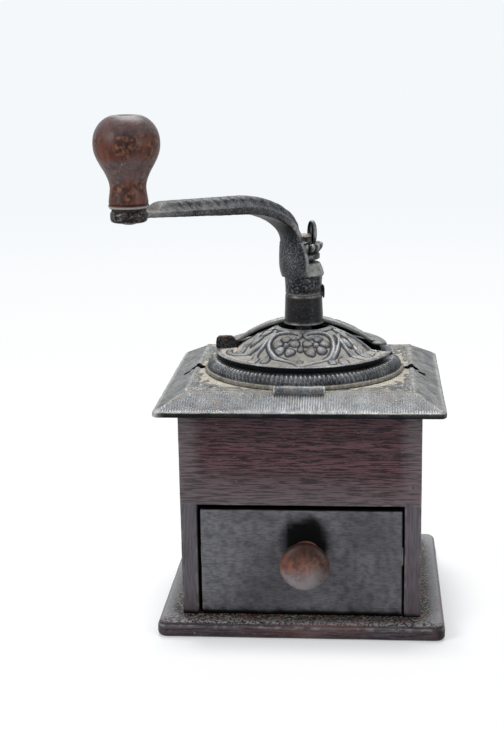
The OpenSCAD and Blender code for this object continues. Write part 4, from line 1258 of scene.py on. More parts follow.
    def draw_corner(self, relief: Relief) -> None:
        """Draws one corner's leaves and scrolls, which the sheet repeats in all four.

        Args:
            relief: The sheet, folded into one quarter.
        """
        relief.petal((59.5, 56.0), 8.5, 4.8, 225.0, 1.5, 0.6)
        relief.petal((51.5, 62.0), 6.5, 2.6, 190.0, 1.3, 0.4)
        relief.petal((40.0, 61.3), 7.0, 2.9, 172.0, 1.35, 0.5)
        relief.petal((28.5, 63.0), 6.0, 1.9, 175.0, 1.2, 0.4)
        relief.petal((65.8, 46.0), 6.5, 2.6, 262.0, 1.35, 0.5)
        relief.petal((65.8, 34.0), 5.5, 1.9, 268.0, 1.2, 0.4)
        relief.stroke([(50.0, 54.5), (54.0, 49.5), (59.5, 46.5), (61.0, 41.5), (58.5, 39.0)], 1.3, 0.8, 0.9)
        relief.stroke([(54.0, 49.5), (47.5, 55.5), (43.0, 57.0), (38.0, 56.0), (37.0, 58.5)], 1.3, 0.8, 0.9)
        relief.petal((65.8, 22.0), 4.5, 1.5, 262.0, 0.9, 0.3)

    def rope(self) -> None:
        """Makes the rope moulding around the front half, and the plain collar behind it."""
        z = self.flat
        arc = [(56.5 + 6.0 * math.cos(a), z + 2.9 + 6.0 * math.sin(a)) for a in np.linspace(0.0, math.pi / 2, 12)]
        front = [
            (self.mouth, z), (self.rope_foot - 0.4, z), (self.rope_foot, z + 0.5), (self.rope_foot, z + 2.3),
            (self.rope_foot - 0.5, z + 2.9), (63.0, z + 2.95), *arc, (52.5, z + 8.9), (52.5, self.high),
            (self.mouth, self.high),
        ]
        bm = lathe(front, self.ribs // 2 * 12, 180.0, 180.0, closed=True)
        piece = place("rope_moulding", bm, Body.CASE, Slot.IRON, self.rope_iron, sharp=70.0)
        points = read_points(piece.data)
        radius = np.hypot(points[:, 0], points[:, 1])
        angle = np.degrees(np.arctan2(points[:, 1], points[:, 0])) % 360.0
        level = points[:, 2] - z - 2.9
        slant = angle + 0.18 * level
        phase = (slant * self.ribs / 360.0) % 1.0
        bulge = np.sqrt(np.clip(1 - (2 * phase - 1) ** 2, 0, 1))
        on_rope = smoothstep(radius, 55.5, 57.5) * smoothstep(level, 0.1, 0.9)
        out = np.stack([points[:, 0] / radius, points[:, 1] / radius, np.zeros(len(radius))], 1)
        lean = np.clip((radius - 56.5) / 6.0, 0.0, 1.0)
        normal = out * lean[:, None] + np.array([0, 0, 1]) * np.sqrt(1 - lean**2)[:, None]
        write_points(piece.data, points + normal * (0.85 * (bulge - 1.0) * on_rope)[:, None])
        # Painted shade in the grooves between ribs, on the rope's lower side and on the inner wall.
        groove = (1 - bulge) ** 1.4 * on_rope
        low_side = smoothstep(3.2 - level, 0.0, 3.4) * on_rope
        inside = 1.0 - smoothstep(radius, 53.0, 56.5)
        specks = 0.5 + wander(points, 1.6, 1.0)[:, 0]
        mark(piece.data, "soot_and_shade", np.maximum.reduce([0.7 * groove, (0.7 + 0.3 * specks) * low_side, inside]))
        foot = smoothstep(radius, 62.6, 63.2) * (1 - on_rope)
        mark(piece.data, "dust", (0.35 + 0.6 * specks) * foot)
        mark(piece.data, "wear_and_highlight", (0.1 + 0.2 * specks) * on_rope * smoothstep(level, 2.6, 4.6))
        back = [
            (self.mouth, z), (57.0, z), (57.0, z + 9.6), (56.3, self.high - 1.9), (52.5, self.high - 1.9),
            (52.5, self.high), (self.mouth, self.high),
        ]
        place("plain_collar", lathe(back, 90, 0.0, 180.0, closed=True), Body.CASE, Slot.IRON, self.rope_iron)

    def pad(self) -> None:
        """Makes the half-round pad at the front of the flat."""
        radius, half = 3.6, 15.7
        profile = [(0.0, -half), (radius - 0.9, -half), (radius - 0.2, -half + 0.4), (radius, -half + 1.2)]
        profile += [(radius, half * k / 6) for k in range(-5, 6)]
        profile += [(r, -h) for r, h in reversed(profile[:4])]
        bm = lathe(profile, 32)
        bmesh.ops.transform(bm, matrix=Matrix.Rotation(math.radians(90), 4, "Y"), verts=bm.verts)
        bmesh.ops.translate(bm, vec=Vector((0, -self.flat_d / 2 + 1.4, self.flat + 0.4)) * MM, verts=bm.verts)
        piece = place("front_pad", bm, Body.CASE, Slot.IRON, self.iron)
        points = read_points(piece.data)
        write_points(piece.data, points + wander(points, 7.0, 0.25))
        mark(piece.data, "wear_and_highlight", 0.9 * smoothstep(np.abs(points[:, 0]), half - 1.4, half - 0.2))

    def reeds(self) -> None:
        """Makes the fine upright reeds on the front slope."""
        bm = bmesh.new()
        top_y, top_z = -self.flat_d / 2, self.flat
        foot_y, foot_z = -self.half_d + 1.6, self.lip + 0.7
        half = self.reed_pitch * 0.3
        count = int((self.half_w - 5.0) / self.reed_pitch)
        for i in range(-count, count + 1):
            x = i * self.reed_pitch
            t = min(1.0, (self.half_w - 2.0 - abs(x)) / (self.half_w - self.flat_w / 2 - 1.0))
            end = Vector((x, foot_y + (top_y - foot_y) * t + 0.4, foot_z + (top_z - foot_z) * t - 0.15))
            start = Vector((x, foot_y - 0.2, foot_z - 0.1))
            rise = Vector((0, -0.22, 0.42))
            rings = []
            for spot, k in ((start, 0.3), (start.lerp(end, 0.06), 1.0), (start.lerp(end, 0.95), 1.0), (end, 0.3)):
                side = Vector((half, 0, 0))
                rings.append([(spot - side) * MM, (spot + rise * k) * MM, (spot + side) * MM, (spot - rise) * MM])
            reed = loft(rings)
            mesh = bpy.data.meshes.new("reed")
            reed.to_mesh(mesh)
            reed.free()
            bm.from_mesh(mesh)
            bpy.data.meshes.remove(mesh)
        piece = place("slope_reeds", bm, Body.CASE, Slot.IRON, self.slope_iron_painted_sheen, sharp=60.0)
        x = read_points(piece.data)[:, 0]
        # Painted reflection: the reeds pale towards the middle, where the top light's sheen lies.
        mark(piece.data, "wear_and_highlight", 0.1 + 0.75 * np.exp(-((x / 44.0) ** 2)))

    def build(self) -> None:
        """Makes every piece of the iron top."""
        self.body()
        self.sheet()
        self.rope()
        self.pad()
        self.reeds()


@dataclass
class Domes:
    """The swinging lid with its relief, and the fixed back dome with the neck tube."""

    ball: float = 67.0
    inner: float = 65.4
    relief_height: float = 1.4
    steps: int = 300

    def __post_init__(self) -> None:
        """Reads the levels from the frame and makes the finishes."""
        self.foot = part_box("hopper_lid")[0].z / MM
        self.flange_top = self.foot + 2.0
        self.centre = self.flange_top - math.sqrt(68.0**2 - 43.5**2)
        self.tube_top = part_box("back_dome")[1].z / MM
        self.iron = CastIron(
            "lid_iron", dark=(0.07, 0.073, 0.08), pale=(0.23, 0.238, 0.25), dusty=0.3, crevice=0.3,
            rusty=0.05, roughness=0.4, dust=(0.4, 0.365, 0.31), crevice_shade=0.8, crevice_shade_reach=0.7,
            edge=(0.3, 0.32, 0.345),
        ).build()
        self.black = CastIron(
            "tube_iron", dark=(0.004, 0.004, 0.005), pale=(0.014, 0.013, 0.014), dusty=0.15, rusty=0.3,
            rust=(0.035, 0.012, 0.010), roughness=0.3, depth=0.08, shine=0.2, metallic=0.3, pitted=0.8,
            glint=0.07, edge=(0.22, 0.21, 0.2),
        ).build()

    def arc(self, radius: float, r0: float, r1: float, count: int) -> list[Point2]:
        """Gives points on a sphere's section from one radius to another."""
        return [
            (r, self.centre + math.sqrt(radius**2 - r**2)) for r in np.linspace(r0, r1, count)
        ]

    def lid(self) -> None:
        """Makes the lid: flange, dome with relief, neck ring and thumb tab."""
        z = self.foot
        top = self.flange_top
        outer = self.arc(self.ball, 19.2, 43.0, 64)
        flange = [(r, top - 0.35 - 0.1 * (r - 43.6)) for r in np.arange(43.6, 53.2, 0.45)]
        flange += [
            (53.8, top - 1.25), (54.6, top - 0.95), (55.6, top - 0.9), (56.5, top - 1.05), (57.0, top - 1.4),
            (57.0, z + 0.3), (56.7, z), (42.6, z),
        ]
        inside = self.arc(self.inner, 41.8, 19.2, 16)
        bm = lathe(outer + flange + inside, self.steps, 166.0, 182.0, closed=True)
        piece = place("lid_cast", bm, Body.LID, Slot.IRON, self.iron, ["hopper_lid"], sharp=50.0)
        self.raise_relief(piece, read_points(piece.data))
        neck = self.arc(68.0, 16.4, 19.4, 4) + self.arc(self.inner, 19.4, 16.4, 4)
        place("lid_neck", lathe(neck, 96, closed=True), Body.LID, Slot.IRON, self.iron)
        self.tab()

    def sheet(self, points: np.ndarray, ball: float) -> tuple[np.ndarray, np.ndarray]:
        """Lays a dome's points out flat about its pole, with the flange as a ring outside it.

        Args:
            points: The points, in millimetres.
            ball: The radius of the dome's sphere.

        Returns:
            The distance from the pole along the surface, and the azimuth.
        """
        radius = np.hypot(points[:, 0], points[:, 1])
        spring = ball * math.asin(43.5 / ball)
        along = ball * np.arcsin(np.minimum(radius, 43.5) / ball)
        return np.where(radius < 43.5, along, spring + radius - 43.5), np.arctan2(points[:, 1], points[:, 0])

    def raise_relief(self, piece: bpy.types.Object, points: np.ndarray) -> None:
        """Raises the flowers, scrolls and leaves on the lid's outer face.

        Args:
            piece: The lid.
            points: Its points, in millimetres.
        """
        radius = np.hypot(points[:, 0], points[:, 1])
        from_centre = points - np.array([0, 0, self.centre])
        reach = np.linalg.norm(from_centre, axis=1)
        dome = (np.abs(reach - self.ball) < 0.05) & (radius < 43.3)
        brim = (radius >= 43.3) & (points[:, 2] > self.foot + 0.5) & (radius < 53.3)
        along, azimuth = self.sheet(points, 68.0)
        relief = Relief(along * np.cos(azimuth), along * np.sin(azimuth))
        wider = Relief(relief.x, relief.y, 0.8)
        for drawing in (relief, wider):
            self.draw_lid(drawing)
        ends = np.minimum(np.abs(np.degrees(azimuth) + 12.0), 90.0) * radius / 57.3
        edge = (1.0 - smoothstep(ends, 1.2, 2.0)) * dome
        relief.raise_to(edge)
        scale = self.relief_height * np.where(dome, relief.height, 0.0) + 0.75 * np.where(brim, relief.height, 0.0)
        ground = np.where(dome | brim, 0.14 * wander(points, 2.2, 1.0)[:, 2], 0.0)
        normal = np.where(dome[:, None], from_centre / reach[:, None], np.array([0.0, 0.0, 1.0]))
        write_points(piece.data, points + normal * (scale + ground)[:, None])
        bare = (dome | brim) * (1.0 - smoothstep(relief.height, 0.05, 0.5))
        trough = smoothstep(radius, 50.0, 52.5) * (1 - smoothstep(radius, 53.6, 54.4)) * (points[:, 2] > self.foot)
        patchy = np.exp(-(((np.degrees(azimuth) % 360.0 - 192.0) / 15.0) ** 2)) * smoothstep(along, 40.0, 48.0)
        patchy = np.maximum(patchy, np.exp(-((relief.x / 5.0) ** 2)) * smoothstep(-relief.y, 40.0, 50.0))
        mark(piece.data, "dust", np.maximum((0.5 + 0.4 * patchy) * bare, 0.75 * trough))
        # Painted shade, partly soot, beside the raised relief, and painted shade on the lid's underside.
        line = relief.outline(wider) * (dome | brim)
        under = (points[:, 2] < self.foot + 0.3).astype(float)
        mark(piece.data, "soot_and_shade", np.maximum(0.88 * line, under))
        mark(piece.data, "wear_and_highlight", 0.45 * smoothstep(relief.height, 0.8, 1.0) * (dome | brim))

    def draw_lid(self, relief: Relief) -> None:
        """Draws the lid's flowers, scrolls and leaves on its flattened sheet.

        Args:
            relief: The sheet about the lid's pole.
        """
        left_ring = [
            (-1.0, -55.0), (-5.5, -49.8), (-11.6, -45.4), (-17.0, -41.4), (-20.3, -35.4), (-21.7, -29.6),
            (-21.3, -25.4), (-19.6, -20.9), (-16.2, -17.6), (-10.9, -17.2), (-5.7, -18.3), (-2.0, -20.9),
            (-1.6, -23.8), (-4.0, -25.8), (-7.1, -24.5),
        ]
        right_ring = [
            (1.0, -55.0), (4.6, -53.0), (10.2, -48.6), (16.0, -44.4), (19.0, -40.6), (20.5, -35.8), (20.8, -30.2),
            (19.6, -23.6), (17.4, -19.4), (14.0, -17.4), (8.2, -17.8), (3.6, -19.6), (1.8, -22.6),
            (4.2, -25.2), (7.0, -24.4),
        ]
        for ring in (left_ring, right_ring):
            relief.stroke(ring, 2.0, 1.3, 1.0)
        relief.petal((-0.4, -49.5), 3.4, 1.7, 270.0, 0.95, 0.2)
        for x, y, size in (
            (-10.2, -25.8, 3.2), (-15.2, -29.6, 3.4), (-14.0, -35.4, 3.4), (-7.6, -38.2, 3.3), (-4.6, -31.0, 3.2),
            (9.6, -25.4, 3.2), (14.4, -29.0, 3.4), (12.8, -35.4, 3.4), (6.2, -38.4, 3.3), (4.0, -31.2, 3.2),
        ):
            centre = (-9.9, -32.0) if x < 0 else (9.3, -31.6)
            turn = math.degrees(math.atan2(centre[1] - y, centre[0] - x))
            relief.petal((x, y), 1.02 * size, 0.96 * size, turn, 0.9, 0.12)
        relief.petal((-9.9, -32.0), 1.9, 1.9, 0.0, 1.15)
        relief.petal((9.3, -31.6), 1.9, 1.9, 0.0, 1.15)
        relief.petal((-0.6, -36.4), 2.4, 1.8, 90.0, 0.8)
        relief.stroke([(-17.6, -13.5), (-22.0, -19.5), (-24.4, -25.0), (-27.0, -28.8), (-30.5, -33.0), (-31.8, -38.0)],
                      1.4, 1.5, 0.95)
        relief.petal((-31.4, -43.0), 6.4, 3.0, 66.0, 1.0, 0.3)
        relief.petal((-23.6, -43.6), 6.6, 2.5, 80.0, 1.0, 0.3)
        relief.stroke([(22.9, -13.5), (23.6, -21.0), (23.6, -28.0), (23.0, -34.0), (21.4, -40.0)], 1.4, 1.4, 0.95)
        relief.petal((20.8, -46.6), 5.6, 2.4, 98.0, 1.0, 0.3)
        relief.petal((28.0, -43.4), 7.0, 3.0, 100.0, 1.0, 0.3)
        left_leaf = [
            (-17.6, -15.6), (-23.3, -21.4), (-29.3, -25.4), (-35.8, -27.6), (-41.3, -28.0), (-46.6, -25.2),
            (-50.2, -18.6), (-50.6, -11.6),
        ]
        relief.stroke(left_leaf, 1.3, 1.7, 1.0)
        right_leaf = [
            (21.4, -16.0), (26.7, -23.6), (31.6, -29.4), (36.4, -33.8), (41.4, -36.6), (46.0, -34.6), (49.6, -28.8),
            (50.6, -21.6),
        ]
        relief.stroke(right_leaf, 1.3, 1.7, 1.0)
        for x, y, long, wide, turn in (
            (-42.6, -19.2, 6.2, 2.9, 62.0), (-37.2, -12.2, 6.6, 3.0, 62.0), (-31.0, -15.8, 5.8, 2.8, 48.0),
            (-30.4, -7.6, 5.8, 2.6, 60.0), (-24.2, -10.4, 5.0, 2.4, 42.0), (-20.8, -5.4, 4.4, 2.0, 45.0),
            (43.4, -28.0, 6.0, 2.9, 118.0), (38.2, -22.2, 6.4, 2.9, 122.0), (33.6, -15.4, 6.2, 2.7, 124.0),
            (28.6, -20.2, 5.4, 2.5, 138.0), (26.8, -11.0, 5.4, 2.4, 128.0), (22.0, -8.0, 4.4, 2.0, 130.0),
        ):
            relief.petal((x, y), long, 1.12 * wide, turn + 180.0, 1.0, 0.4)
        relief.stroke([(16.5, -1.6), (24.0, -3.2), (31.0, -5.2), (37.6, -7.6), (44.5, -10.6), (50.0, -14.0)], 1.3, 1.3, 0.95)

    def tab(self) -> None:
        """Makes the thumb tab at the lid's left end."""
        top = self.flange_top
        rings = []
        for y, inset in ((-0.5, 0.5), (-0.9, 0.0), (-2.9, 0.0), (-3.35, 0.5)):
            outline = [
                (-56.7 + inset, top - 0.6), (-56.9 + inset, top + 2.5), (-56.4 + inset, top + 5.6 - inset),
                (-54.8 + inset * 0.6, top + 7.0 - inset), (-50.0, top + 7.2 - inset), (-46.6 - inset * 0.6, top + 7.0 - inset),
                (-45.0 - inset, top + 5.8 - inset), (-43.4 - inset, top + 3.2), (-42.8 - inset, top - 0.6),
            ]
            rings.append([Vector((x, y, z)) * MM for x, z in outline])
        iron = CastIron(
            "tab_iron", dark=(0.006, 0.006, 0.006), pale=(0.024, 0.022, 0.022), dusty=0.6, rusty=0.2, glint=0.2
        ).build()
        place("lid_tab", loft(rings), Body.LID, Slot.IRON, iron)

    def back(self) -> None:
        """Makes the fixed dome, its flared rim and strap, and the neck tube."""
        edge = self.flange_top + 0.7
        outer_ball, inner_ball, skin = 71.4, 69.0, 70.9
        r_in = math.sqrt(inner_ball**2 - (edge - self.centre) ** 2)
        shell = self.arc(skin, 9.0, 43.6, 56) + [
            (45.2, edge + 3.0), (47.0, edge + 2.25), (50.0, edge + 1.4), (52.6, edge + 0.85), (53.3, edge + 0.4),
            (53.1, edge),
        ] + self.arc(inner_ball, r_in, 9.0, 12)
        bm = lathe(shell, 240, 0.0, 180.0, closed=True)
        piece = place("back_dome_cast", bm, Body.CASE, Slot.IRON, self.iron, ["back_dome"], sharp=50.0)
        points = read_points(piece.data)
        from_centre = points - np.array([0, 0, self.centre])
        reach = np.linalg.norm(from_centre, axis=1)
        outer = (np.abs(reach - skin) < 0.05) & (points[:, 2] > edge + 0.5)
        along, azimuth = self.sheet(points, skin)
        relief = Relief(along * np.cos(azimuth), -along * np.sin(azimuth))
        wider = Relief(relief.x, relief.y, 0.8)
        for drawing in (relief, wider):
            self.draw_lid(drawing)
        y = points[:, 1]
        rails = np.maximum(np.exp(-(((y - 1.0) / 0.8) ** 4)), 0.9 * np.exp(-(((y - 3.7) / 0.7) ** 4)))
        height = np.where(y < 5.5, rails, relief.height) + 0.15 * wander(points, 2.5, 1.0)[:, 2]
        normal = from_centre / reach[:, None]
        rise = np.clip(0.48 * height, -0.1, outer_ball - skin)
        write_points(piece.data, points + normal * np.where(outer, rise, 0.0)[:, None])
        mark(piece.data, "dust", 0.7 * outer * (1 - smoothstep(height, 0.1, 0.6)))
        # Painted shade on the dome's cut front face, and painted shade, partly soot, beside the relief.
        face = (y < 0.05) & (reach < skin - 0.3)
        line = relief.outline(wider) * outer * (y > 5.5)
        mark(piece.data, "soot_and_shade", np.maximum(0.7 * face, 0.8 * line))
        mark(piece.data, "wear_and_highlight", 0.6 * outer * (y < 5.5) * smoothstep(height, 0.4, 0.9))
        bm = bmesh.new()
        bmesh.ops.create_uvsphere(bm, u_segments=24, v_segments=12, radius=1.0)
        bmesh.ops.scale(bm, vec=Vector((4.2, 3.4, 1.5)) * MM, verts=bm.verts)
        bmesh.ops.translate(bm, vec=Vector((47.6, -1.2, edge + 1.3)) * MM, verts=bm.verts)
        place("rim_lug", bm, Body.CASE, Slot.IRON, self.iron)
        self.tube()
        self.fixings(edge)

    def tube(self) -> None:
        """Makes the neck tube with its dusty rims."""
        top = self.tube_top
        foot = top - 19.0
        profile = [
            (6.0, foot), (12.5, foot), (12.85, foot + 0.35), (12.85, foot + 0.9), (12.5, foot + 1.4),
            (12.3, foot + 2.2), (12.3, foot + 6.0), (12.05, foot + 11.0), (11.85, top - 2.0), (11.8, top - 0.7),
            (11.4, top), (5.5, top),
        ]
        piece = place("neck_tube", lathe(profile, 72), Body.CASE, Slot.IRON, self.black)
        z = read_points(piece.data)[:, 2]
        rims = np.exp(-(((z - foot - 0.7) / 0.55) ** 2)) + 0.9 * np.exp(-(((z - top + 0.4) / 0.5) ** 2))
        mark(piece.data, "wear_and_highlight", 0.75 * rims)

    def fixings(self, edge: float) -> None:
        """Makes the strap behind the dome.

        Args:
            edge: The level of the dome's lower edge.
        """
        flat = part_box("back_dome")[0].z / MM
        parts = (
            ("dome_strap_top", (-15.0, 43.0, edge), (15.0, 60.7, edge + 3.0)),
            ("dome_strap_back", (-14.8, 57.9, flat + 0.2), (14.8, 60.5, edge + 2.8)),
            ("dome_strap_wall", (-37.0, 57.7, flat), (37.0, 60.7, self.foot - 0.3)),
            ("dome_strap_foot", (-28.0, 58.1, flat), (28.0, 66.4, flat + 3.0)),
        )
        for name, a, b in parts:
            bm = plank(Vector(a) * MM, Vector(b) * MM, 0.6, 5.0)
            place(name, bm, Body.CASE, Slot.IRON, self.iron, sharp=60.0)

    def build(self) -> None:
        """Makes both domes."""
        self.lid()
        self.back()


@dataclass
class Crank:
    """The crank casting, its knob and the adjusting nut."""

    turn: float = 233.0
    reach: float = 150.0
    rise: float = 57.2
    lift: float = 7.4
    hub: float = 15.6
    shell: float = 2.2
    bend_from: float = 59.6
    across: tuple[float, ...] = (0.0, 0.28, 0.56, 0.8, 0.93)
    hub_levels: tuple[float, ...] = (0.0, 0.5, 1.2, 3.0, 8.0, 13.0, 18.0, 23.0, 28.0)
    hub_halves: tuple[float, ...] = (9.0, 10.0, 10.8, 11.3, 11.5, 11.3, 10.4, 9.0, 8.1)

    def __post_init__(self) -> None:
        """Reads the levels from the frame and makes the finishes."""
        self.boss_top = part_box("knob_washer")[0].z / MM
        self.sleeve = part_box("back_dome")[1].z / MM + 0.2
        self.foot = self.sleeve + 11.5
        self.foot_top = self.foot + 8.6
        self.nut_top = self.foot_top + 12.6
        self.loop_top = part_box("adjusting_nut")[1].z / MM
        self.arm = self.sleeve - 0.2 + self.rise
        self.iron = CastIron(
            "arm_iron", dark=(0.015, 0.016, 0.018), pale=(0.07, 0.074, 0.08), dusty=0.3, rusty=0.05,
            dust=(0.26, 0.24, 0.22), roughness=0.4, grain=0.8, depth=0.22, crevice_shade=0.8, edge=(0.27, 0.27, 0.27),
            under=0.8,
        ).build()
        self.rough_iron = CastIron(
            "sleeve_iron", dark=(0.006, 0.006, 0.007), pale=(0.045, 0.046, 0.05), dusty=0.7, rusty=0.04, glint=0.28,
            dust=(0.29, 0.28, 0.27), roughness=0.34, grain=1.5, depth=0.35, crevice_shade=0.7, edge=(0.42, 0.4, 0.36),
        ).build()

    def under(self, u: float) -> float:
        """Gives the level of the straight arm's underside."""
        return self.arm + self.lift * (u - self.bend_from) / (self.reach - self.bend_from)

    def bent(self, long: float, high: float, up: float, angle: float) -> Vector:
        """Gives a point of the bend's quarter ellipse; 90 degrees is its upright end."""
        b = math.radians(angle)
        u = self.bend_from - long * math.sin(b)
        return Vector((u, 0.0, self.under(u) + up - high * (1 - math.cos(b))))

    def ridge_height(self, u: float) -> float:
        """Gives the height of the ridge's top over the straight arm's underside."""
        places = (59.6, 125.0, 127.5, 130.0, 132.5, 134.2)
        return float(np.interp(u, places, (11.0, 8.7, 8.2, 7.0, 5.0, 2.9)))

    def hub_ring(self, z: float) -> list[Vector]:
        """Makes the section of the curved shell that wraps round the nut.

        Args:
            z: The section's level.

        Returns:
            The section's points in the arm's own frame, in millimetres.
        """
        above = z - self.foot
        half = float(np.interp(above, self.hub_levels, self.hub_halves))
        outside = self.hub - 1.5 * max(0.0, 1 - above / 8.0) ** 1.5
        inside = 13.4 if z < self.nut_top + 1.1 else 9.9
        thick = outside - inside
        ring = []
        for side in (1, -1):
            part = [(half * k, 0.0) for k in self.across] + [(half, 0.55), (half, thick * 0.6), (half - 0.5, thick)]
            part += [((half - 0.6) * math.cos(a), thick) for a in np.linspace(0.12, math.pi / 2, 9)]
            part = part if side > 0 else part[-2:0:-1]
            for y, depth in part:
                radius = outside - depth
                ring.append(Vector((math.sqrt(max(radius**2 - y * y, 1.0)), side * y, z)))
        return ring

    def arm_ring(self, low: Vector, step: Vector, top: Vector, half: float, swell: float, walked: float) -> list[Vector]:
        """Makes the section of the flanged arm between three points of its own upright plane.

        Args:
            low: The middle of the underside.
            step: The flange's top.
            top: The ridge's top.
            half: Half the flange's width.
            swell: How far the underside keeps the hub's curve, from 0 to 1.
            walked: The distance along the arm, which places the ribs.

        Returns:
            The section's points in the arm's own frame, in millimetres.
        """
        flange = step - low
        away = flange.normalized()
        rise = top - step
        ridge = min(6.0, half * 0.76)
        ring = []
        for side in (1, -1):
            part = []
            for k in self.across:
                y = half * k
                bow = (math.sqrt(self.hub**2 - y * y) - self.hub + 1.0) * swell
                part.append(low - away * bow + Vector((0, side * y, 0)))
            edge = (math.sqrt(self.hub**2 - half**2) - self.hub + 1.0) * swell
            part.append(low - away * (edge - 0.6) + Vector((0, side * half, 0)))
            part.append(step - away * 0.6 + Vector((0, side * half, 0)))
            part.append(step + Vector((0, side * (half - 0.6), 0)))
            for a in np.linspace(0.12, math.pi / 2, 9):
                y = ridge * math.cos(a)
                share = math.sin(a) ** 0.72
                lobe = 0.0
                if 68.0 > walked > -52.0 and rise.length > 3.0:
                    phase = ((walked - 4.5 * share) / 7.6) % 1.0
                    fade = min(1.0, (68.0 - walked) / 16.0, (walked + 52.0) / 14.0)
                    dip = math.sin(math.pi * phase) ** 0.7
                    lobe = 1.25 * fade * (dip - 0.85) * math.sin(min(2.1 * a + 0.1, math.pi))
                spot = step + rise * share + Vector((0, side * (y + max(lobe, -1.3)), 0)) + away * min(0.0, 0.4 * lobe)
                part.append(spot)
                self.lobes.append((spot, lobe))
            ring += part if side > 0 else part[-2:0:-1]
        return ring

    def arm_piece(self) -> None:
        """Makes the hub, the bend and the straight arm as one skin."""
        self.lobes: list[tuple[Vector, float]] = []
        levels = [self.foot, self.foot + 0.5, self.foot + 1.2]
        levels += list(np.arange(self.foot + 2.2, self.nut_top + 1.0, 1.3)) + [self.nut_top + 1.05, self.nut_top + 1.15]
        rings = [self.hub_ring(z) for z in levels]
        for angle in np.linspace(88.5, 0.0, 44):
            low = self.bent(45.0, 19.0, 0.0, angle)
            step = self.bent(50.0, 24.0, 5.0, angle)
            top = self.bent(52.1, 22.5, 11.0, angle)
            swell = float(smoothstep(np.array(angle), 38.0, 88.0))
            half = 8.0 + 0.15 * swell
            for point in (step, top):
                if point.z < self.loop_top + 1.2:
                    point.x = max(point.x, 9.95)
            rings.append(self.arm_ring(low, step, top, half, swell, low.x - self.bend_from))
        for u in np.arange(self.bend_from + 1.0, self.reach - 3.0, 1.0):
            low = Vector((u, 0, self.under(u)))
            flange = 5.0 - 2.2 * (u - self.bend_from) / (self.reach - self.bend_from)
            step = low + Vector((0, 0, flange))
            top = low + Vector((0, 0, max(self.ridge_height(u), flange + 0.06)))
            half = 8.0 if u < self.reach - 14 else 8.0 + 0.6 * (u - self.reach + 14) / 14
            rings.append(self.arm_ring(low, step, top, half, 0.0, u - self.bend_from))
        bm = loft([[p * MM for p in ring] for ring in rings])
        bmesh.ops.transform(bm, matrix=Matrix.Rotation(math.radians(self.turn), 4, "Z"), verts=bm.verts)
        piece = place("arm_cast", bm, Body.CRANK, Slot.IRON, self.iron, ["crank_arm"], sharp=44.0)
        points = read_points(piece.data)
        tree = kdtree.KDTree(len(self.lobes))
        turn = Matrix.Rotation(math.radians(self.turn), 3, "Z")
        for i, (spot, _) in enumerate(self.lobes):
            tree.insert(turn @ spot, i)
        tree.balance()
        found = [tree.find(Vector(point)) for point in points]
        lobes = np.array([self.lobes[i][1] if gap < 0.3 else 0.0 for _, i, gap in found])
        a = math.radians(self.turn)
        out = points[:, 0] * math.cos(a) + points[:, 1] * math.sin(a)
        side = points[:, 0] * math.sin(a) - points[:, 1] * math.cos(a)
        safe = smoothstep(out, 16.5, 22.0)[:, None]
        write_points(piece.data, points + wander(points, 3.0, 0.2) * np.maximum(safe, 0.25))
        mark(piece.data, "dust", 0.6 * smoothstep(out, 112.0, 142.0))
        # Wear and painted highlight: the flange band, the hub's edges and the lobes' crests are paled.
        band = smoothstep(out, 40.0, 60.0) * np.exp(-(((np.abs(side) - 6.4) / 0.7) ** 2))
        half = np.interp(points[:, 2] - self.foot, self.hub_levels, self.hub_halves)
        hub = (out < 19.0) * np.exp(-(((np.abs(side) - half) / 0.35) ** 2))
        mark(piece.data, "wear_and_highlight", np.maximum.reduce([0.75 * band, 0.2 * smoothstep(lobes, 0.08, 0.2), 0.7 * hub]))
        # Painted shade in the hollows between the ridge's lobes.
        mark(piece.data, "soot_and_shade", 0.85 * smoothstep(-lobes, 0.25, 0.9))
        self.beads()

    def beads(self) -> None:
        """Makes the row of small beads where the ridge meets the flange, on both sides."""
        bm = bmesh.new()
        for side in (-1, 1):
            for u in np.arange(62.0, 132.0, 2.3):
                flange = 5.0 - 2.2 * (u - self.bend_from) / (self.reach - self.bend_from)
                ball = bmesh.ops.create_icosphere(bm, subdivisions=1, radius=0.8 * MM)["verts"]
                bmesh.ops.translate(bm, vec=Vector((u, side * 6.2, self.under(u) + flange + 0.1)) * MM, verts=ball)
        bmesh.ops.transform(bm, matrix=Matrix.Rotation(math.radians(self.turn), 4, "Z"), verts=bm.verts)
        place("arm_beads", bm, Body.CRANK, Slot.IRON, self.iron, sharp=60.0)

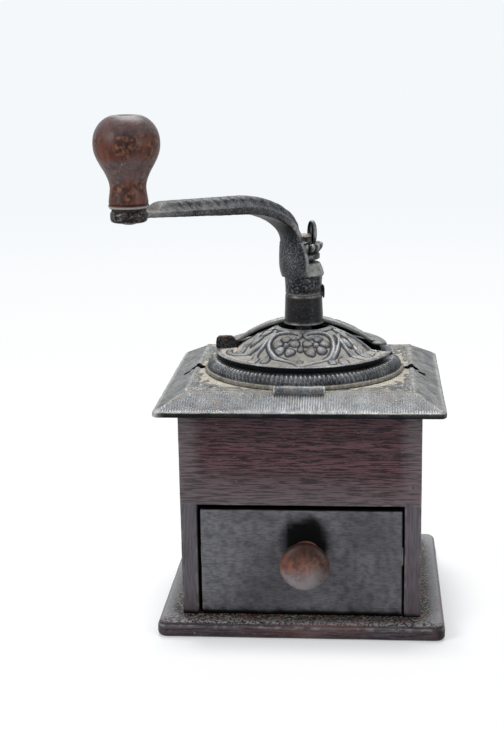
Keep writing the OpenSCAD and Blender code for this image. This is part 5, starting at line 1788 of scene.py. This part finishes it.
    def foot_piece(self) -> None:
        """Makes the sleeve, its lug and the foot under the nut."""
        z, foot, top = self.sleeve, self.foot, self.foot_top
        profile = [(5.6, z), (11.0, z), (11.4, z + 0.35), (11.45, z + 0.9)]
        profile += [(11.45 + 0.5 * i / 8, z + 0.9 + (foot - z - 1.3) * i / 8) for i in range(1, 9)]
        profile += [
            (12.4, foot), (13.0, foot + 0.8), (13.2, foot + 1.6), (13.0, foot + 2.3), (12.4, foot + 4.4),
            (11.6, foot + 6.4), (10.9, top - 0.6), (10.4, top), (5.6, top),
        ]
        piece = place("crank_foot", lathe(profile, 84), Body.CRANK, Slot.IRON, self.rough_iron)
        points = read_points(piece.data)
        ring = np.hypot(points[:, 0], points[:, 1])
        side = (ring > 8.0).astype(float)[:, None]
        write_points(piece.data, points + side * wander(points, 3.2, 0.22) - side * 0.1)
        z_mm = points[:, 2]
        edge = 0.7 * np.exp(-(((z_mm - z - 0.3) / 0.5) ** 2))
        mark(piece.data, "dust", np.maximum(0.85 * smoothstep(z_mm, foot + 1.4, foot + 2.4), edge))
        rim = np.exp(-(((z_mm - foot - 1.6) / 0.7) ** 2)) + 0.6 * np.exp(-(((z_mm - top + 0.4) / 0.5) ** 2))
        mark(piece.data, "wear_and_highlight", 0.6 * rim)
        profile = [
            (11.0, z + 1.4), (11.0, z + 4.8), (12.2, z + 5.3), (13.1, z + 4.6), (13.4, z + 2.8), (13.4, z - 1.6),
            (13.2, z - 2.8), (12.8, z - 3.3), (12.4, z - 3.0), (12.35, z + 0.6),
        ]
        place("sleeve_lug", lathe(profile, 14, -1.5, 43.0, closed=True), Body.CRANK, Slot.IRON, self.rough_iron)

    def boss(self) -> None:
        """Makes the boss under the knob, where the arm ends."""
        top = self.boss_top
        profile = [
            (0.0, top - 6.4), (8.8, top - 6.4), (9.9, top - 5.8), (10.4, top - 4.6), (10.4, top - 2.0),
            (10.1, top - 0.7), (9.4, top), (0.0, top),
        ]
        bm = lathe(profile, 56)
        bmesh.ops.translate(bm, vec=self.knob_axis(), verts=bm.verts)
        iron = CastIron(
            "boss_iron", dark=(0.006, 0.004, 0.004), pale=(0.04, 0.03, 0.029), dusty=0.5, rusty=0.4, glint=0.3,
            rust=(0.06, 0.025, 0.018), roughness=0.36, grain=1.4, depth=0.3,
        ).build()
        piece = place("arm_boss", bm, Body.CRANK, Slot.IRON, iron)
        points = read_points(piece.data)
        write_points(piece.data, points + wander(points, 4.0, 0.2) * (points[:, 2] < top - 0.5)[:, None])

    def knob_axis(self) -> Vector:
        """Gives the crank knob's axis on the floor, in metres."""
        a = math.radians(self.turn)
        return Vector((math.cos(a) * self.reach, math.sin(a) * self.reach, 0.0)) * MM

    def knob(self) -> None:
        """Makes the turned crank knob."""
        low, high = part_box("crank_knob")
        z = low.z / MM
        top = (high.z - low.z) / MM
        belly = (high.x - low.x) / 2 / MM
        outline = [
            (10.6, 0.0), (11.2, 0.9), (11.2, 2.0), (10.7, 2.5), (11.0, 3.1), (10.9, 4.6), (10.4, 8.0), (10.1, 11.6),
            (10.75, 15.2), (12.6, 19.6), (14.9, 23.6), (16.9, 27.6), (18.1, 31.2), (belly, 34.9), (18.2, 38.8),
            (17.1, 42.4), (15.0, 45.8), (12.2, 48.4), (9.4, 49.9), (7.6, top),
        ]
        smooth = [tuple(p) for p in curve_through(outline, 4)]
        profile = [(0.0, z)] + [(min(r, belly), z + min(h, top)) for r, h in smooth]
        profile += [(4.6, z + top), (4.3, z + top - 1.0), (0.0, z + top - 1.2)]
        bm = lathe(profile, 96)
        bmesh.ops.translate(bm, vec=self.knob_axis(), verts=bm.verts)
        wood = TurnedWood("crank_knob_wood", Grain.ALONG_Z).build()
        piece = place("crank_knob_turned", bm, Body.KNOB, Slot.KNOB, wood, ["crank_knob"], sharp=60.0)
        points = read_points(piece.data)
        level = points[:, 2] - z
        rim = 0.6 * smoothstep(level, top - 0.9, top - 0.2) + np.exp(-(((level - 0.9) / 0.5) ** 2))
        mark(piece.data, "wear_and_highlight", rim)
        # Painted shadow in the groove near the knob's foot and at the foot itself, the gap above the boss.
        mark(piece.data, "soot_and_shade", 0.9 * np.exp(-(((level - 2.3) / 0.5) ** 2)) + 0.8 * (level < 0.1))
        # Painted reflection: grey bands of softbox sheen on the belly's lower part and near the top.
        patchy = level + wander(points, 9.0, 3.0)[:, 0]
        lower_reflection = smoothstep(patchy, 13.0, 17.0) * (1.0 - smoothstep(patchy, 25.0, 29.0))
        upper_reflection = smoothstep(patchy, 38.0, 44.0)
        mark(piece.data, "haze_and_sheen", np.maximum(0.5 * lower_reflection, 0.6 * upper_reflection))

    def nut(self) -> None:
        """Makes the lobed adjusting nut and its thumb loop."""
        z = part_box("adjusting_nut")[0].z / MM
        top = z + 12.4
        profile = [
            (5.5, z), (7.4, z), (7.4, z + 2.0), (9.8, z + 2.0), (10.5, z + 2.5), (10.5, z + 5.0), (9.9, z + 5.5),
            (9.7, z + 6.0), (10.2, z + 6.6), (11.0, z + 7.5), (11.9, z + 8.6), (12.5, z + 9.6), (12.75, z + 10.6),
            (12.6, z + 11.4), (12.1, z + 12.1), (11.3, top), (10.5, top - 0.2), (9.8, top - 0.9), (8.6, top - 2.0),
            (7.0, top - 2.6), (5.5, top - 2.8),
        ]
        iron = CastIron(
            "nut_iron", dark=(0.02, 0.02, 0.023), pale=(0.1, 0.102, 0.108), dusty=0.5, rusty=0.1,
            dust=(0.3, 0.29, 0.27), roughness=0.38, crevice_shade=0.8, edge=(0.27, 0.27, 0.265),
        ).build()
        piece = place("nut_cast", lathe(profile, 224), Body.NUT, Slot.IRON, iron, ["adjusting_nut"], sharp=55.0)
        points = read_points(piece.data)
        angle = np.arctan2(points[:, 1], points[:, 0])
        radius = np.hypot(points[:, 0], points[:, 1])
        phase = (16 * angle / (2 * math.pi)) % 1.0
        gap = 1.0 - np.sqrt(np.clip(1.0 - (2.0 * phase - 1.0) ** 2, 0.0, 1.0))
        crown = smoothstep(points[:, 2], z + 5.6, z + 8.0) * smoothstep(radius, 8.6, 10.0)
        shrink = 1.0 - 0.14 * crown * gap
        points[:, 0] *= shrink
        points[:, 1] *= shrink
        points[:, 2] -= 0.9 * crown * gap * smoothstep(points[:, 2], z + 9.5, z + 11.5)
        write_points(piece.data, points)
        # Painted shade under the crown, at the neck and in the grooves between lobes.
        under = smoothstep(points[:, 2], z + 5.0, z + 5.6) * (1 - smoothstep(points[:, 2], z + 6.6, z + 8.0))
        neck = (points[:, 2] < z + 2.2).astype(float)
        groove = crown * smoothstep(gap, 0.25, 0.7)
        mark(piece.data, "soot_and_shade", np.maximum.reduce([0.95 * under * (radius > 8), neck, 0.9 * groove]))
        mark(piece.data, "wear_and_highlight", 0.8 * crown * (1.0 - smoothstep(gap, 0.02, 0.2)))
        self.loop(top, iron)

    def loop(self, crown: float, iron: bpy.types.Material) -> None:
        """Makes the upright oval that the thumb turns, with a raised rim and a spine.

        Args:
            crown: The level of the nut's crown.
            iron: Its material.
        """
        foot = crown - 2.4
        mid, half_h, half_w = (foot + self.loop_top) / 2, (self.loop_top - foot) / 2, 4.0
        rings = []
        for depth, k in (
            (1.0, 0.3), (0.95, 0.6), (0.8, 0.68), (0.15, 0.76), (0.0, 0.86), (0.5, 1.0), (2.1, 1.0),
            (2.6, 0.86), (2.45, 0.76), (1.8, 0.68), (1.65, 0.6), (1.6, 0.3),
        ):
            ring = []
            for i in range(32):
                a = 2 * math.pi * i / 32
                height = (half_h - half_w * (1 - k)) * math.sin(a)
                ring.append(Vector((half_w * k * math.cos(a), 5.8 + depth, mid + height)) * MM)
            rings.append(ring)
        bm = loft(rings)
        spine = bmesh.ops.create_uvsphere(bm, u_segments=12, v_segments=8, radius=1.0)["verts"]
        bmesh.ops.scale(bm, vec=Vector((0.7, 1.05, half_h - 1.2)) * MM, verts=spine)
        bmesh.ops.translate(bm, vec=Vector((0, 7.1, mid)) * MM, verts=spine)
        bmesh.ops.transform(bm, matrix=Matrix.Rotation(math.radians(-50.0), 4, "Z"), verts=bm.verts)
        piece = place("nut_loop", bm, Body.NUT, Slot.IRON, iron, sharp=60.0)
        spots = read_points(piece.data)
        turn = math.radians(-50.0)
        across = spots[:, 0] * math.cos(turn) + spots[:, 1] * math.sin(turn)
        depth = spots[:, 1] * math.cos(turn) - spots[:, 0] * math.sin(turn)
        rim = np.hypot(across / half_w, np.clip(np.abs(spots[:, 2] - mid) - half_h + half_w, 0.0, None) / half_w)
        spine = (np.abs(across) < 0.75) & (depth < 6.4)
        # Painted shade in the recess inside the loop's rim.
        mark(piece.data, "soot_and_shade", 0.85 * (1.0 - smoothstep(rim, 0.55, 0.85)) * ~spine)
        mark(piece.data, "wear_and_highlight", np.maximum(0.7 * smoothstep(rim, 0.7, 0.95), 0.6 * spine))

    def build(self) -> None:
        """Makes every piece that the crank carries."""
        self.arm_piece()
        self.foot_piece()
        self.boss()
        self.knob()
        self.nut()


def dress_nodes(finishes: dict[str, bpy.types.Material], groups: dict[str, Sequence[str]]) -> None:
    """Gives the CAD nodes that stay their materials.

    Args:
        finishes: Materials by group name.
        groups: Node names by group name.
    """
    for group, names in groups.items():
        for name in names:
            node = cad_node(name)
            node.data.materials.clear()
            node.data.materials.append(finishes[group])


@dataclass
class Studio:
    """The pale floor, the soft lights and the camera."""

    lens: float = 66.98
    place: Point2 = (43.025, -887.033)
    height: float = 363.853
    yaw: float = 4.973
    pitch: float = 13.784
    roll: float = -0.998
    backdrop: Colour = (0.905, 0.94, 0.965)

    def camera(self) -> None:
        """Puts the camera at the photograph's place."""
        yaw, pitch, roll = (math.radians(a) for a in (self.yaw, self.pitch, self.roll))
        forward = Vector((-math.sin(yaw) * math.cos(pitch), math.cos(yaw) * math.cos(pitch), -math.sin(pitch)))
        right = Vector((math.cos(yaw), math.sin(yaw), 0.0))
        up = right.cross(forward)
        right_rolled = right * math.cos(roll) + up * math.sin(roll)
        up_rolled = up * math.cos(roll) - right * math.sin(roll)
        data = bpy.data.cameras.new("camera")
        data.lens = self.lens
        data.sensor_width = 36.0
        data.clip_start = 0.01
        camera = bpy.data.objects.new("camera", data)
        turn = Matrix((right_rolled, up_rolled, -forward)).transposed().to_4x4()
        camera.matrix_world = Matrix.Translation(Vector((*self.place, self.height)) * MM) @ turn
        bpy.context.scene.collection.objects.link(camera)
        bpy.context.scene.camera = camera

    def light(self, name: str, spot: Sequence[float], size: float, watts: float) -> None:
        """Adds a square soft light that points at the mill.

        Args:
            name: Its name.
            spot: Its place, in metres.
            size: Its side, in metres.
            watts: Its power.
        """
        data = bpy.data.lights.new(name, "AREA")
        data.size = size
        data.energy = watts
        lamp = bpy.data.objects.new(name, data)
        lamp.location = spot
        aim = Vector((0, 0, 0.15)) - Vector(spot)
        lamp.rotation_euler = aim.to_track_quat("-Z", "Y").to_euler()
        bpy.context.scene.collection.objects.link(lamp)

    def floor(self) -> None:
        """Makes the pale floor, which shows white and keeps the mill's shadow."""
        bm = bmesh.new()
        bmesh.ops.create_grid(bm, x_segments=1, y_segments=1, size=6.0)
        mesh = bpy.data.meshes.new("floor")
        bm.to_mesh(mesh)
        bm.free()
        g = Graph("floor_white")
        g.shader.inputs["Base Color"].default_value = (0.86, 0.87, 0.88, 1.0)
        g.shader.inputs["Roughness"].default_value = 0.9
        g.shader.inputs["Specular IOR Level"].default_value = 0.0
        away = g.add("ShaderNodeVectorMath")
        away.operation = "LENGTH"
        g.link(g.place, away.inputs[0])
        distance = away.outputs["Value"]
        glow = g.add("ShaderNodeEmission")
        g.link(g.mix(g.span(distance, 0.4, 2.4), (1.0, 1.0, 1.0), self.backdrop), glow.inputs["Color"])
        path = g.add("ShaderNodeLightPath")
        seen = g.math("MAXIMUM", path.outputs["Is Camera Ray"], path.outputs["Is Glossy Ray"])
        split = g.add("ShaderNodeSeparateXYZ")
        g.link(g.place, split.inputs[0])
        beside = [
            g.math("SUBTRACT", g.math("ABSOLUTE", split.outputs[axis]), edge)
            for axis, edge in (("X", 0.089), ("Y", 0.084))
        ]
        outside = g.math("MAXIMUM", *beside)
        white = g.math("ADD", g.span(outside, 0.0, 0.034, 0.2, 0.94), g.span(distance, 0.2, 0.9, 0.0, 0.06))
        blend = g.add("ShaderNodeMixShader")
        g.link(g.math("MULTIPLY", seen, white), blend.inputs[0])
        g.link(g.shader.outputs["BSDF"], blend.inputs[1])
        g.link(glow.outputs["Emission"], blend.inputs[2])
        output = next(n for n in g.tree.nodes if n.type == "OUTPUT_MATERIAL")
        g.link(blend.outputs["Shader"], output.inputs["Surface"])
        mesh.materials.append(g.material)
        floor = bpy.data.objects.new("floor", mesh)
        floor.location = (0, 0, 0)
        bpy.context.scene.collection.objects.link(floor)

    def sky(self) -> None:
        """Sets a white world, dimmer as light than as backdrop."""
        world = bpy.data.worlds.new("world")
        world.use_nodes = True
        bpy.context.scene.world = world
        tree = world.node_tree
        tree.nodes.clear()
        path = tree.nodes.new("ShaderNodeLightPath")
        seen = path.outputs["Is Camera Ray"]
        for ray in ("Is Glossy Ray", "Is Transmission Ray"):
            either = tree.nodes.new("ShaderNodeMath")
            either.operation = "MAXIMUM"
            tree.links.new(seen, either.inputs[0])
            tree.links.new(path.outputs[ray], either.inputs[1])
            seen = either.outputs[0]
        strength = tree.nodes.new("ShaderNodeMapRange")
        tree.links.new(seen, strength.inputs["Value"])
        strength.inputs["To Min"].default_value = 0.6
        strength.inputs["To Max"].default_value = 1.0
        back = tree.nodes.new("ShaderNodeBackground")
        back.inputs["Color"].default_value = (*self.backdrop, 1.0)
        tree.links.new(strength.outputs["Result"], back.inputs["Strength"])
        output = tree.nodes.new("ShaderNodeOutputWorld")
        tree.links.new(back.outputs["Background"], output.inputs["Surface"])

    def build(self) -> None:
        """Sets up the whole studio."""
        self.camera()
        self.light("key_left", (-1.0, -0.8, 0.75), 0.6, 9.0)
        self.light("fill_right", (1.05, -0.7, 0.5), 0.6, 4.5)
        self.light("top", (-0.05, 0.42, 1.28), 0.7, 17.0)
        self.floor()
        self.sky()
        bpy.context.scene.view_settings.view_transform = "Standard"


def main() -> None:
    """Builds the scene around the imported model."""
    logging.basicConfig(level=logging.INFO, format="%(message)s")
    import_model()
    Studio().build()
    WoodenCase().build()
    Drawer().build()
    IronTop().build()
    Domes().build()
    Crank().build()
    finishes = {
        "steel": OldSteel("old_steel").build(),
        "screws": OldSteel("black_screws_and_gap_shade", bright=(0.02, 0.018, 0.016), dull=(0.005, 0.004, 0.004), dusty=0.0).build(),
        "spindle": OldSteel("spindle_steel", bright=(0.07, 0.066, 0.06), dull=(0.02, 0.018, 0.016)).build(),
        "inner_iron": CastIron("inner_iron", dusty=0.7).build(),
    }
    dress_nodes(finishes, {
        # The knob washer takes the black finish as painted shade in the gap under the crank knob.
        "screws": ("plate_screws", "knob_washer"),
        "steel": ("base_screws", "case_nails", "bowl_bolts", "bridge_screws", "dome_screws",
                  "burr_pin", "spindle_spring", "spring_washer", "cotter_pin", "knob_rivet",
                  "drawer_nails", "drawer_knob_screw"),
        "spindle": ("spindle",),
        "inner_iron": ("hopper_bowl", "outer_burr", "inner_burr", "burr_bridge"),
    })


if __name__ == "__main__":
    main()
